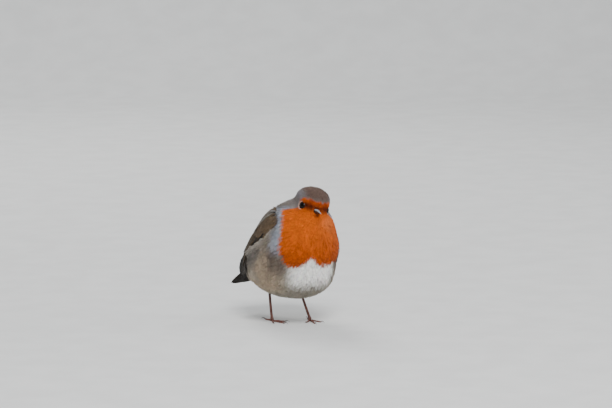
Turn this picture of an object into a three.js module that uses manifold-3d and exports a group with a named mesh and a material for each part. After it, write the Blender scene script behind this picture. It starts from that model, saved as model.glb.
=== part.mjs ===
// A European robin (Erithacus rubecula), life size, standing with its winter plumage fluffed out and its
// head turned to its right. Millimetres, +Z up. The bird faces -Y, +X is its left side, and z = 0 is the
// floor. Head, neck and trunk are one plumage form parted by thin cuts. Every other piece is a solid of its
// own.
import * as THREE from "three";
import { mergeVertices } from "three/addons/utils/BufferGeometryUtils.js";
import Module from "manifold-3d";

const wasm = await Module();
wasm.setup();

const rad = THREE.MathUtils.degToRad;
const vec = (x, y, z) => new THREE.Vector3(x, y, z);
const SIDES = { left: 1, right: -1 }; // the sign of X on each side of the bird

// ---- Driving dimensions ----

const GAP = 0.3; // clearance between neighbouring pieces
const BODY = vec(0, 2, 56); // middle of the trunk, above the floor
const BODY_TILT = 32.5; // how far the breast is raised, in degrees
const HEAD = vec(-0.6, -25.3, 100.2); // middle of the skull
const HEAD_TURN = -22; // degrees about Z, negative to the bird's right
const HEAD_DIP = 2; // degrees that the bill points below level
const HEAD_ROLL = 14; // degrees that the crown leans to the bird's left
const TAIL_TIP = vec(0, 63, 26.5);
const TAIL_SLOPE = 38; // degrees below level
const TAIL_LENGTH = 50;
const EYE_RADIUS = 3.8;
const EYE_DEPTH = 2.3; // of its middle under the face's feathers
const EYE = vec(11, -8, -2.6); // near the left eye's middle, in the head's own frame
const BILL_LENGTH = 14.1; // with the 2.6 mm that the forehead feathers cover
const BILL_ROOT = vec(0, -12.6, -3.6); // where the gape line enters the face, in the head's own frame
const SHANK_RADIUS = 0.8;
const TOE_RADIUS = 0.78;
const TOE_HEIGHT = 0.6; // of a toe's middle line, so that its pads are cut flat by the floor
const TOE_START = 3.6; // from the middle of the foot, where a toe leaves the sole

const headFrame = new THREE.Matrix4()
  .makeRotationFromEuler(new THREE.Euler(rad(HEAD_DIP), rad(HEAD_ROLL), rad(HEAD_TURN), "ZXY"))
  .setPosition(HEAD);
const inHead = (x, y, z) => vec(x, y, z).applyMatrix4(headFrame);

// ---- Solids and geometries ----

function asSolid(geometry) {
  const bare = new THREE.BufferGeometry().setAttribute("position", geometry.getAttribute("position"));
  if (geometry.index) bare.setIndex(geometry.index);
  const merged = mergeVertices(bare, 1e-4);
  const mesh = new wasm.Mesh({
    numProp: 3,
    vertProperties: merged.attributes.position.array,
    triVerts: new Uint32Array(merged.index.array),
  });
  return new wasm.Manifold(mesh);
}

function asGeometry(solid) {
  const mesh = solid.getMesh();
  return new THREE.BufferGeometry()
    .setAttribute("position", new THREE.BufferAttribute(new Float32Array(mesh.vertProperties), 3))
    .setIndex(new THREE.BufferAttribute(new Uint32Array(mesh.triVerts), 1));
}

// A closed skin through rings of equal count, fanned shut at each end, with its faces turned outwards.
function loft(rings, firstTip = middle(rings[0]), lastTip = middle(rings.at(-1))) {
  const count = rings[0].length;
  const points = [firstTip, ...rings.flat(), lastTip];
  const last = points.length - 1;
  const faces = [];
  for (let i = 0; i < count; i++) {
    const next = (i + 1) % count;
    faces.push([0, 1 + next, 1 + i]);
    faces.push([last, last - count + i, last - count + next]);
    for (let r = 0; r < rings.length - 1; r++) {
      const a = 1 + r * count;
      faces.push([a + i, a + next, a + count + next], [a + i, a + count + next, a + count + i]);
    }
  }
  const inward = faces.reduce((sum, [a, b, c]) => {
    return sum + points[a].dot(points[b].clone().cross(points[c]));
  }, 0) < 0;
  const index = faces.flatMap(([a, b, c]) => (inward ? [a, c, b] : [a, b, c]));
  return new THREE.BufferGeometry().setFromPoints(points).setIndex(index);
}

function middle(ring) {
  return ring.reduce((sum, p) => sum.add(p), vec(0, 0, 0)).divideScalar(ring.length);
}

// A round limb along a curve. girth(s) gives its half-width and half-height. The floor cuts a flat along one
// that lies on it.
function limb(curve, steps, segments, girth, reference = vec(0, 0, 1)) {
  const rings = [];
  for (let i = 0; i <= steps; i++) {
    const s = i / steps;
    const along = curve.getTangentAt(s);
    const side = along.clone().cross(reference).normalize();
    const up = side.clone().cross(along);
    const [wide, high] = girth(s);
    const ring = [];
    for (let k = 0; k < segments; k++) {
      const turn = (2 * Math.PI * (k + 0.5)) / segments;
      const p = curve.getPointAt(s);
      p.addScaledVector(side, wide * Math.cos(turn)).addScaledVector(up, high * Math.sin(turn));
      p.z = Math.max(p.z, 0);
      ring.push(p);
    }
    rings.push(ring);
  }
  return loft(rings);
}

// ---- The plumage form: ellipsoids blended into one soft surface ----

// at and radii are in millimetres; tilt is in degrees about X, and raises the front where it is negative.
const BODY_FORMS = [
  { name: "trunk", at: BODY, radii: [33.5, 42.5, 31], tilt: -BODY_TILT, blend: 1 },
  { name: "breast", at: vec(0, -11, 61), radii: [31, 28.5, 29.5], tilt: 0, blend: 8 },
  { name: "belly", at: vec(0, -6.5, 40), radii: [28.5, 30, 19.5], tilt: 0, blend: 7 },
  { name: "throat", at: vec(-2, -17.5, 81), radii: [23, 21, 20.5], tilt: 0, blend: 9 },
  { name: "nape", at: vec(0, -8, 88), radii: [14.5, 15.5, 12.5], tilt: -35, blend: 9 },
  { name: "shoulder_left", at: vec(12.5, -4.5, 78.5), radii: [14, 18.5, 16.5], tilt: -40, blend: 10 },
  { name: "shoulder_right", at: vec(-12.5, -4.5, 78.5), radii: [14, 18.5, 16.5], tilt: -40, blend: 10 },
  { name: "mantle", at: vec(0, 13, 71), radii: [14, 24, 13], tilt: -40, blend: 8 },
  { name: "rump", at: vec(0, 30.5, 49), radii: [16.5, 21, 12.5], tilt: -TAIL_SLOPE, blend: 9 },
  { name: "undertail", at: vec(0, 33, 40.5), radii: [12, 18, 7.5], tilt: -TAIL_SLOPE, blend: 8 },
];
const HEAD_FORMS = [
  { name: "crown", at: vec(0, 0, 4), radii: [13.8, 11.8, 9.2], blend: 9 },
  { name: "face", at: vec(0, -4.5, -2), radii: [9.5, 10.6, 11], blend: 6 },
  { name: "chin", at: vec(0, -6, -8.5), radii: [8, 8, 7], blend: 5 },
  { name: "cheek_left", at: vec(5.4, -2.5, -6.5), radii: [6, 8.5, 7], blend: 4 },
  { name: "cheek_right", at: vec(-5.4, -2.5, -6.5), radii: [6, 8.5, 7], blend: 4 },
  { name: "brow_left", at: vec(7.2, -6.5, 1.4), radii: [3.6, 6, 3], blend: 3 },
  { name: "brow_right", at: vec(-7.2, -6.5, 1.4), radii: [3.6, 6, 3], blend: 3 },
  { name: "bill_base", at: vec(0, -12, -3.4), radii: [3.9, 3.9, 3.2], blend: 3 },
];

function placed(form, frame) {
  const local = new THREE.Matrix4().makeRotationX(rad(form.tilt ?? 0)).setPosition(form.at);
  const inverse = new THREE.Matrix4().multiplyMatrices(frame, local).invert();
  return { inverse, radii: vec(...form.radii), blend: form.blend };
}

const forms = [
  ...BODY_FORMS.map((form) => placed(form, new THREE.Matrix4())),
  ...HEAD_FORMS.map((form) => placed(form, headFrame)),
];

function distanceToEllipsoid(point, { inverse, radii }) {
  const q = point.clone().applyMatrix4(inverse).divide(radii);
  const far = q.length();
  return (far * (far - 1)) / Math.max(q.divide(radii).length(), 1e-9);
}

function softMinimum(a, b, blend) {
  const near = Math.max(blend - Math.abs(a - b), 0) / blend;
  return Math.min(a, b) - (near * near * blend) / 4;
}

// Roughly the distance from the plumage's surface, negative inside it.
function plumage(point) {
  return forms.reduce((d, form) => softMinimum(d, distanceToEllipsoid(point, form), form.blend), 1e3);
}

// Where a ray from inside the plumage leaves it.
function leaves(origin, direction, stride = 1.5) {
  const at = (t) => origin.clone().addScaledVector(direction, t);
  let far = stride;
  while (plumage(at(far)) < 0) far += stride;
  let near = far - stride;
  for (let i = 0; i < 14; i++) {
    const half = (near + far) / 2;
    if (plumage(at(half)) < 0) near = half;
    else far = half;
  }
  return at(near);
}

// The nearest point at a stated height over the plumage, by steps along the slope of its distance.
function over(point, height) {
  const p = point.clone();
  const e = 0.05;
  for (let i = 0; i < 12; i++) {
    const d = plumage(p);
    const slope = vec(
      plumage(p.clone().setX(p.x + e)) - d,
      plumage(p.clone().setY(p.y + e)) - d,
      plumage(p.clone().setZ(p.z + e)) - d,
    ).divideScalar(e);
    p.addScaledVector(slope, (height - d) / Math.max(slope.lengthSq(), 0.2));
  }
  return p;
}

// ---- Head, neck and trunk ----

const SPINE = new THREE.CatmullRomCurve3([
  vec(0, 34, 44),
  vec(0, 14, 52),
  vec(0, -6, 64),
  vec(0, -20, 83),
  HEAD,
]);
const SPINE_RINGS = 20;
const CAP_RINGS = 7;
const ROUND = 34;

// Rays leave the spine square to it, and fan out round its two ends.
function plumageSolid() {
  const stations = [];
  for (let i = 1; i < CAP_RINGS; i++) stations.push([0, -90 + (90 * i) / CAP_RINGS]);
  for (let i = 0; i <= SPINE_RINGS; i++) stations.push([i / SPINE_RINGS, 0]);
  for (let i = 1; i < CAP_RINGS; i++) stations.push([1, (90 * i) / CAP_RINGS]);
  const across = vec(1, 0, 0);
  const rings = stations.map(([s, lean]) => {
    const origin = SPINE.getPointAt(s);
    const along = SPINE.getTangentAt(s);
    const up = across.clone().cross(along);
    return Array.from({ length: ROUND }, (_, k) => {
      const turn = (2 * Math.PI * k) / ROUND;
      const square = across.clone().multiplyScalar(Math.cos(turn)).addScaledVector(up, Math.sin(turn));
      const ray = square.multiplyScalar(Math.cos(rad(lean))).addScaledVector(along, Math.sin(rad(lean)));
      return leaves(origin, ray);
    });
  });
  const rear = leaves(SPINE.getPointAt(0), SPINE.getTangentAt(0).negate());
  const front = leaves(SPINE.getPointAt(1), SPINE.getTangentAt(1));
  return asSolid(loft(rings, rear, front));
}

// Everything on the far side of a plane, as a block large enough for the bird.
function beyond(point, normal) {
  const size = 300;
  const block = new THREE.BoxGeometry(size, size, size).translate(0, 0, size / 2);
  const turn = new THREE.Quaternion().setFromUnitVectors(vec(0, 0, 1), normal.clone().normalize());
  return asSolid(block.applyQuaternion(turn).translate(point.x, point.y, point.z));
}

const NECK_TOP = { at: vec(0, -22, 92), normal: vec(0, -0.35, 1) };
const NECK_BASE = { at: vec(0, -16, 76), normal: vec(0, -0.5, 1) };

function parted(solid, { at, normal }) {
  const half = normal.clone().setLength(GAP / 2);
  return {
    upper: solid.intersect(beyond(at.clone().add(half), normal)),
    lower: solid.subtract(beyond(at.clone().sub(half), normal)),
  };
}

// ---- Eyes and bill ----

const eyePlace = (side) => over(inHead(side * EYE.x, EYE.y, EYE.z), -EYE_DEPTH);

function eyeball(side, radius) {
  const p = eyePlace(side);
  return new THREE.SphereGeometry(radius, 16, 10).translate(p.x, p.y, p.z);
}

// Half of the bill, arched away from a flat gape line. turn is 1 for the upper half and -1 for the lower one.
function mandible(turn, { length, width, depth, droop, swell = 0 }) {
  const arcSteps = 6;
  const rings = [];
  for (let i = 0; i <= 7; i++) {
    const s = i / 7;
    const taper = Math.pow(1 - 0.93 * s, 0.85);
    const y = BILL_ROOT.y + 2.6 - length * s;
    const gape = BILL_ROOT.z - droop * s * s;
    const ring = [];
    for (let k = 0; k <= arcSteps; k++) {
      const angle = (Math.PI * k) / arcSteps;
      const x = (width / 2 + swell) * taper * Math.cos(angle);
      const z = gape + turn * (GAP / 2 - swell + (depth + 2 * swell) * taper * Math.sin(angle));
      ring.push(inHead(x, y, z));
    }
    rings.push(ring);
  }
  return loft(rings);
}

const UPPER_BILL = { length: BILL_LENGTH, width: 5.8, depth: 2.6, droop: 0.9 };
const LOWER_BILL = { length: BILL_LENGTH - 0.7, width: 5, depth: 1.7, droop: 0.8 };

// ---- Wings, folded on the sides ----

// The left wing's middle line, from its bend on the shoulder to the tip over the tail's edge.
const WING_LINE = new THREE.CubicBezierCurve3(
  vec(19, -9, 88.5),
  vec(33, 4, 83),
  vec(29, 31, 65),
  vec(13, 48.5, 37.7),
);
const WING_STEPS = 16;
const WING_ACROSS = 6;
const WING_BREADTH = 12.5; // half of it, at the coverts
const WING_THICKNESS = 2.2; // how far it stands over the body's plumage
const WING_TIP = 3.4; // half of its breadth at the blunt tip
const WING_SINK = 1; // how deep it lies in that plumage

// With a swell the wing is a cutter: larger all round, and open to everything outside it.
function wing(side, swell = 0) {
  const outward = swell > 0 ? 4 : 0;
  const breadth = (s) => {
    const bend = Math.sqrt(Math.min(1, s / 0.22));
    const point = Math.pow(Math.max(1 - s, 0), 0.62);
    return Math.max(WING_BREADTH * (0.35 + 0.65 * bend) * Math.min(1, 1.25 * point), WING_TIP);
  };
  const rings = [];
  for (let i = 0; i <= WING_STEPS; i++) {
    const s = i / WING_STEPS;
    const along = WING_LINE.getTangentAt(s);
    const base = WING_LINE.getPointAt(s).addScaledVector(along, 3 * swell * (s - 0.5));
    const free = THREE.MathUtils.smoothstep(s, 0.72, 1); // the tip stands clear of the body
    const out = over(base, 3).sub(over(base, 0)).normalize();
    const up = out.clone().cross(along).normalize();
    const rim = Math.sqrt(Math.min(1, (0.03 + s) / 0.12)) * Math.min(1, 0.35 + 1.6 * (1 - s));
    const outer = [];
    const inner = [];
    for (let k = 0; k <= WING_ACROSS; k++) {
      const t = -1 + (2 * k) / WING_ACROSS;
      const place = base.clone().addScaledVector(up, t * (breadth(s) + swell));
      const crown = 0.5 + (WING_THICKNESS - 0.5) * Math.sqrt(Math.max(0, 1 - t ** 4)) * rim;
      const lifted = (height) => over(place, height).lerp(place.clone().addScaledVector(out, height), free);
      outer.push(lifted(crown + swell + outward));
      inner.unshift(lifted(-WING_SINK - swell));
    }
    rings.push([...outer, ...inner]);
  }
  const geometry = loft(rings);
  if (side < 0) {
    geometry.scale(-1, 1, 1);
    geometry.setIndex([...geometry.index.array].reverse());
  }
  return geometry;
}

// ---- Tail ----

// A thin slab with rounded edges, broadest and lightly notched at its tip.
function tail(swell = 0) {
  const down = rad(TAIL_SLOPE);
  const along = vec(0, Math.cos(down), -Math.sin(down));
  const up = vec(0, Math.sin(down), Math.cos(down));
  const rings = [];
  for (let i = 0; i <= 8; i++) {
    const s = i / 8;
    const half = THREE.MathUtils.lerp(6.5, 10.8, s ** 0.8) * (s > 0.95 ? 0.94 : 1) + swell;
    const thick = THREE.MathUtils.lerp(1.9, 0.55, s) + swell;
    const ring = [];
    for (let k = 0; k < 14; k++) {
      const turn = (2 * Math.PI * k) / 14;
      const x = half * Math.cos(turn);
      const lift = thick * Math.sign(Math.sin(turn)) * Math.abs(Math.sin(turn)) ** 0.6;
      const arch = -0.6 * (x / half) ** 2;
      const notch = s ** 3 * 1.8 * (1 - Math.abs(x / half));
      const p = TAIL_TIP.clone().addScaledVector(along, TAIL_LENGTH * (s - 1) - notch + swell * (2 * s - 1));
      ring.push(p.setX(x).addScaledVector(up, lift + arch));
    }
    rings.push(ring);
  }
  return loft(rings);
}

// ---- Legs and feet ----

// foot is the middle of the sole and hock the top of the shank, hidden in the belly feathers.
const LEGS = {
  left: { foot: vec(12, -9, 0), hock: vec(7.4, -0.5, 28), heading: -28 },
  right: { foot: vec(-12.5, 10.5, 0), hock: vec(-12.3, 14.5, 31), heading: -3 },
};
// spread is in degrees from the heading, towards the bird's midline where it is positive.
const TOES = [
  { name: "hind", spread: 180, length: 8.4, claw: 6.4, girth: 1.08 },
  { name: "inner", spread: 30, length: 11.2, claw: 4.3, girth: 0.95 },
  { name: "middle", spread: 0, length: 16, claw: 4.9, girth: 1 },
  { name: "outer", spread: -32, length: 12, claw: 4.1, girth: 0.92 },
];

function toeFrame(side, leg, spread) {
  const turn = rad(leg.heading - SIDES[side] * spread);
  const ahead = vec(Math.sin(turn), -Math.cos(turn), 0);
  return (distance, height) => leg.foot.clone().addScaledVector(ahead, distance).setZ(height);
}

// Toe pads swell between the joints.
const padded = (radius, pads) => (s) => {
  const r = radius * (1 - 0.22 * s) * (1 + 0.09 * Math.cos(2 * Math.PI * pads * s));
  return [r, r];
};

function shank(side, swell = 0) {
  const { foot, hock } = LEGS[side];
  const line = new THREE.LineCurve3(hock, foot.clone().setZ(TOE_HEIGHT + 0.6));
  const girth = (s) => {
    const knuckle = 0.45 * Math.exp(-(((s - 0.02) / 0.07) ** 2)) + 0.42 * Math.exp(-(((s - 1) / 0.09) ** 2));
    const r = SHANK_RADIUS * (1 + knuckle) + swell;
    return [r, r * 1.12];
  };
  return limb(line, 10, 10, girth, vec(0, 1, 0));
}

function toe(side, { spread, length, girth }) {
  const place = toeFrame(side, LEGS[side], spread);
  const line = new THREE.LineCurve3(place(TOE_START, TOE_HEIGHT), place(length, 0.75 * TOE_HEIGHT));
  return limb(line, 8, 8, padded(TOE_RADIUS * girth, length > 9 ? 3 : 2));
}

function claw(side, { spread, length, claw: reach, girth }) {
  const place = toeFrame(side, LEGS[side], spread);
  const start = length + GAP;
  const hook = new THREE.CatmullRomCurve3([
    place(start, TOE_HEIGHT),
    place(start + 0.4 * reach, TOE_HEIGHT + 0.55),
    place(start + 0.8 * reach, TOE_HEIGHT + 0.25),
    place(start + reach, 0.18),
  ]);
  return limb(hook, 5, 6, (s) => {
    const r = 0.56 * girth * (1 - 0.82 * s);
    return [0.85 * r, r];
  });
}

// The sole joins the shank's foot to the root of each toe.
function shankAndSole(side) {
  const leg = LEGS[side];
  const roots = TOES.map(({ spread, girth }) => {
    const place = toeFrame(side, leg, spread);
    const line = new THREE.LineCurve3(place(-0.4, TOE_HEIGHT + 0.15), place(TOE_START - GAP, TOE_HEIGHT));
    return asSolid(limb(line, 2, 8, () => [TOE_RADIUS * girth * 1.08, TOE_RADIUS * girth * 1.08]));
  });
  return roots.reduce((joined, root) => joined.add(root), asSolid(shank(side)));
}

// ---- Materials ----

const finish = (color, roughness) => new THREE.MeshStandardMaterial({ color, roughness, metalness: 0 });
const PAINT = {
  face: finish(0xc4601c, 0.85),
  breast: finish(0xcf6415, 0.85),
  belly: finish(0xbcb3a4, 0.88),
  wing: finish(0x6b5a44, 0.75),
  tail: finish(0x4d4032, 0.7),
  bill: finish(0x2b2522, 0.35),
  eye: finish(0x0b0706, 0.05),
  leg: finish(0x6e3b31, 0.5),
  claw: finish(0x2a1d19, 0.4),
};

// ---- Assembly ----

const bird = new THREE.Group();

function add(name, geometry, material) {
  const mesh = new THREE.Mesh(geometry, material);
  mesh.name = name;
  bird.add(mesh);
}

const { upper: wholeHead, lower: rest } = parted(plumageSolid(), NECK_TOP);
const { upper: neck, lower: wholeTrunk } = parted(rest, NECK_BASE);

const headCuts = [
  mandible(1, { ...UPPER_BILL, swell: GAP }),
  mandible(-1, { ...LOWER_BILL, swell: GAP }),
  ...Object.values(SIDES).map((side) => eyeball(side, EYE_RADIUS + GAP)),
];
const wingCuts = Object.values(SIDES).map((side) => wing(side, GAP));
const trunkCuts = [tail(GAP), ...wingCuts, ...Object.keys(SIDES).map((side) => shank(side, GAP))];
const cutBy = (solid, cutters) => cutters.reduce((left, cutter) => left.subtract(asSolid(cutter)), solid);

add("head", asGeometry(cutBy(wholeHead, headCuts)), PAINT.face);
add("neck", asGeometry(cutBy(neck, wingCuts)), PAINT.breast);
add("trunk", asGeometry(cutBy(wholeTrunk, trunkCuts)), PAINT.belly);
add("bill_upper", mandible(1, UPPER_BILL), PAINT.bill);
add("bill_lower", mandible(-1, LOWER_BILL), PAINT.bill);
add("tail", tail(), PAINT.tail);
for (const [side, sign] of Object.entries(SIDES)) {
  add(`eye_${side}`, eyeball(sign, EYE_RADIUS), PAINT.eye);
  add(`wing_${side}`, wing(sign), PAINT.wing);
  add(`leg_${side}`, asGeometry(shankAndSole(side)), PAINT.leg);
  for (const shape of TOES) {
    add(`toe_${shape.name}_${side}`, toe(side, shape), PAINT.leg);
    add(`claw_${shape.name}_${side}`, claw(side, shape), PAINT.claw);
  }
}

// The origin is on the floor, under the middle of the bird's outline.
const outline = new THREE.Box3().setFromObject(bird).getCenter(vec(0, 0, 0));
bird.position.set(-outline.x, -outline.y, 0);

const robin = new THREE.Group();
robin.add(bird);

export default robin;
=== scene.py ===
import math

import bpy
import numpy as np
from mathutils import Matrix, Vector
from mathutils.kdtree import KDTree


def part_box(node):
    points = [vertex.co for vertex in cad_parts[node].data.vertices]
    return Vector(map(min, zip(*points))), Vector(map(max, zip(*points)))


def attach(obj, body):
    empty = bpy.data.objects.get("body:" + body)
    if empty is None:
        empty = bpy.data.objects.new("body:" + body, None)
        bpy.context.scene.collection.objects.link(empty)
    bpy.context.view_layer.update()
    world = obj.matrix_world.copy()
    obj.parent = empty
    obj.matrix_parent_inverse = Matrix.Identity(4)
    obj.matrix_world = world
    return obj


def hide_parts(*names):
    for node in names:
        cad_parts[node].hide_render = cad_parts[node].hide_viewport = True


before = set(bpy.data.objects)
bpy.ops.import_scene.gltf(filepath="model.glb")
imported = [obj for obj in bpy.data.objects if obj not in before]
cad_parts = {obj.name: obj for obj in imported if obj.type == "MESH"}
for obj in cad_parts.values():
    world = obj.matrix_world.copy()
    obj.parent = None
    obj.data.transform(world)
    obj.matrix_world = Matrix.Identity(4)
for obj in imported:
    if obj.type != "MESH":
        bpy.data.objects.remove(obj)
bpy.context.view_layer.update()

# A European robin, life size, fluffed out and standing with its head turned to its right.
# Shapes are worked out in millimetres in the bird's own frame: its body faces -Y, +X is its left side and
# the floor is z = 0. STANCE moves them into the model's frame, which is centred under the bird's outline.
MM = 0.001
STANCE = np.array([0.0, -7.777, 0.0])
rng = np.random.default_rng(7)


def v(*numbers):
    return np.array(numbers, float)


def unit(a):
    return a / np.maximum(np.linalg.norm(a, axis=-1, keepdims=True), 1e-9)


def smooth(low, high, x):
    t = np.clip((np.asarray(x, float) - low) / (high - low), 0, 1)
    return t * t * (3 - 2 * t)


def dot(a, b):
    return np.sum(a * b, axis=-1)


def apart(points, spot):
    """How far each point lies from a spot."""
    return np.linalg.norm(points - spot, axis=1)


def flattened(ways, normals):
    """Directions laid flat on the surface that has these normals."""
    return unit(ways - normals * dot(ways, normals)[..., None])


def blend(a, b, t):
    if np.ndim(t):
        t = np.asarray(t, float)[..., None]
    return a * (1 - t) + b * t


def turn(axis, degrees):
    return np.array(Matrix.Rotation(math.radians(degrees), 3, axis))


def linear(hex_colour):
    """The linear colour of a six-digit screen colour."""
    parts = [int(hex_colour[i : i + 2], 16) / 255 for i in (0, 2, 4)]
    return v(*[c / 12.92 if c <= 0.04045 else ((c + 0.055) / 1.055) ** 2.4 for c in parts])


# ---- The plumage form: the same blended ellipsoids as the solids, measured to the feathers' tips ----

HEAD = v(-0.6, -25.3, 100.2)
HEAD_TURN = turn("Z", -22) @ turn("X", 2) @ turn("Y", 14)
TAIL_SLOPE = 38
TAIL_TIP = v(0, 63, 26.5)
TAIL_LENGTH = 45.6
BILL_ROOT = v(0, -12.6, -3.6)  # in the head's own frame
BILL_BURIED = 2.6  # how far the bill starts behind its root
GAPE_DROP = 1.1  # how far its gape lies below its root
EYE_RADIUS = 3.8
EYE_OPENING = 3.15  # radius of the opening between the lids
LID_WIDTH, LID_THICKNESS = 0.42, 0.24  # half of the ring's section each way

# middle, radii, tilt about X in degrees, softness of the join
BODY_FORMS = [
    (v(0, 2, 56), v(33.5, 42.5, 31), -32.5, 1),  # trunk
    (v(0, -11, 61), v(31, 28.5, 29.5), 0, 8),  # breast
    (v(0, -6.5, 40), v(28.5, 30, 19.5), 0, 7),  # belly
    (v(-2, -17.5, 81), v(23, 21, 20.5), 0, 9),  # throat
    (v(0, -8, 88), v(14.5, 15.5, 12.5), -35, 9),  # nape
    (v(12.5, -4.5, 78.5), v(14, 18.5, 16.5), -40, 10),  # left shoulder
    (v(-12.5, -4.5, 78.5), v(14, 18.5, 16.5), -40, 10),  # right shoulder
    (v(0, 13, 71), v(14, 24, 13), -40, 8),  # mantle
    (v(0, 30.5, 49), v(16.5, 21, 12.5), -TAIL_SLOPE, 9),  # rump
    (v(0, 33, 40.5), v(12, 18, 7.5), -TAIL_SLOPE, 8),  # under the tail
]
HEAD_FORMS = [
    (v(0, 0, 4), v(13.8, 11.8, 9.2), 0, 9),  # crown
    (v(0, -4.5, -2), v(9.5, 10.6, 11), 0, 6),  # face
    (v(0, -6, -8.5), v(8, 8, 7), 0, 5),  # chin
    (v(5.4, -2.5, -6.5), v(6, 8.5, 7), 0, 4),  # left cheek
    (v(-5.4, -2.5, -6.5), v(6, 8.5, 7), 0, 4),  # right cheek
    (v(7.2, -6.5, 1.4), v(3.6, 6, 3), 0, 3),  # left brow
    (v(-7.2, -6.5, 1.4), v(3.6, 6, 3), 0, 3),  # right brow
    (v(0, -12, -3.4), v(3.9, 3.9, 3.2), 0, 3),  # feathers at the bill's root
]
FORMS = [(at, turn("X", tilt), radii, soft) for at, radii, tilt, soft in BODY_FORMS]
FORMS += [(HEAD + HEAD_TURN @ at, HEAD_TURN, radii, soft) for at, radii, _, soft in HEAD_FORMS]


def plumage(points):
    """Roughly how far each point lies outside the plumage, negative inside it."""
    nearest = np.full(len(points), 1e3)
    for at, axes, radii, soft in FORMS:
        q = ((points - at) @ axes) / radii
        far = np.linalg.norm(q, axis=1)
        here = far * (far - 1) / np.maximum(np.linalg.norm(q / radii, axis=1), 1e-9)
        near = np.maximum(soft - np.abs(nearest - here), 0) / soft
        nearest = np.minimum(nearest, here) - near * near * soft / 4
    return nearest


def slope(points):
    """The way out of the plumage at each point, not made unit length."""
    step = 0.05
    here = plumage(points)
    return np.stack([(plumage(points + step * np.eye(3)[i]) - here) / step for i in range(3)], axis=1)


def over(points, height, rounds=7):
    """The nearest points at a stated height over the plumage."""
    p = np.array(points, float)
    for _ in range(rounds):
        out = slope(p)
        p += out * ((height - plumage(p)) / np.maximum(dot(out, out), 0.2))[:, None]
    return p


def in_head(points):
    """Row-frame points of the head's own frame, where -Y is the way the bill points."""
    return (points - HEAD) @ HEAD_TURN


def from_head(points):
    return HEAD + np.asarray(points) @ HEAD_TURN.T


def node_middle(node):
    low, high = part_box(node)
    return np.array((low + high) / 2) / MM - STANCE


SIDES = {"left": 1, "right": -1}
EYES = {side: node_middle(f"eye_{side}") for side in SIDES}
EYE_LOOKS = {side: unit(slope(EYES[side][None])[0]) for side in SIDES}


def eye_distance(points):
    """How far each point lies from the middle of the nearer eye."""
    return np.minimum(*(apart(points, EYES[side]) for side in SIDES))


# ---- Making meshes and materials ----

VALUE_KEYS = {"FLOAT_VECTOR": "vector", "FLOAT_COLOR": "color", "QUATERNION": "value"}


def store(mesh, name, kind, values):
    """Gives each point of a mesh a value of its own."""
    layer = mesh.attributes.new(name, kind, "POINT")
    layer.data.foreach_set(VALUE_KEYS[kind], np.asarray(values, np.float32).ravel())


def store_tint(mesh, tint):
    store(mesh, "tint", "FLOAT_COLOR", np.c_[tint, np.ones(len(tint))])


def shown(name, data):
    """A new object, linked so that it shows."""
    made = bpy.data.objects.new(name, data)
    bpy.context.scene.collection.objects.link(made)
    return made


def smooth_mesh(name, points, faces, maps):
    """A smoothly shaded mesh with its maps, which are {name: a place for each face corner}."""
    mesh = bpy.data.meshes.new(name)
    mesh.from_pydata(np.asarray(points).tolist(), [], faces)
    for map_name, corners in maps.items():
        layer = mesh.uv_layers.new(name=map_name)
        layer.data.foreach_set("uv", np.asarray(corners, np.float32).ravel())
    mesh.polygons.foreach_set("use_smooth", np.ones(len(mesh.polygons), bool))
    return mesh


def make_piece(name, points, faces, maps, tint=None):
    """A piece at the origin, from points in millimetres in the bird's frame."""
    mesh = smooth_mesh(name, (points + STANCE) * MM, faces, maps)
    if tint is not None:
        store_tint(mesh, tint)
    mesh.update()
    return shown(name, mesh)


def patch(u, w):
    """The four corners of a map's patch between two places across and two along."""
    return [(u[0], w[0]), (u[1], w[0]), (u[1], w[1]), (u[0], w[1])]


def closed_rings(rings, poles, rows, turned=False):
    """A closed form of rings of points, with a pole before the first ring and one after the last.

    Gives its points, faces and map corners. rows is how high on the map the first pole, each ring and the
    last pole lie. turned is for rings that run the other way round.
    """
    count, around, _ = rings.shape
    faces, corners = [], []

    def face(spots, places):
        order = [0, *range(len(spots) - 1, 0, -1)] if turned else range(len(spots))
        faces.append(tuple(spots[i] for i in order))
        corners.extend(places[i] for i in order)

    for j in range(count):
        for k in range(around):
            a, b = j * around + k, j * around + (k + 1) % around
            u0, u1 = k / around, (k + 1) / around
            middle = (u0 + u1) / 2
            if j == 0:
                face((count * around, b, a), ((middle, rows[0]), (u1, rows[1]), (u0, rows[1])))
            if j == count - 1:
                face((count * around + 1, a, b), ((middle, rows[-1]), (u0, rows[-2]), (u1, rows[-2])))
            else:
                face((a, b, b + around, a + around), patch((u0, u1), (rows[j + 1], rows[j + 2])))
    return np.vstack([rings.reshape(-1, 3), poles]), faces, corners


def finished(piece, material, slot, *nodes):
    """Gives a piece its material, its body and the nodes it stands for. slot is not used."""
    piece.data.materials.clear()
    piece.data.materials.append(material)
    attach(piece, "root")
    if nodes:
        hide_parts(*nodes)


def add_node(tree, kind, inputs=None, **settings):
    """A node with its settings made and each input linked or given its value."""
    made = tree.nodes.new(kind)
    for key, value in settings.items():
        setattr(made, key, value)
    for key, value in (inputs or {}).items():
        if isinstance(value, bpy.types.NodeSocket):
            tree.links.new(value, made.inputs[key])
        else:
            made.inputs[key].default_value = value
    return made


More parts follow.
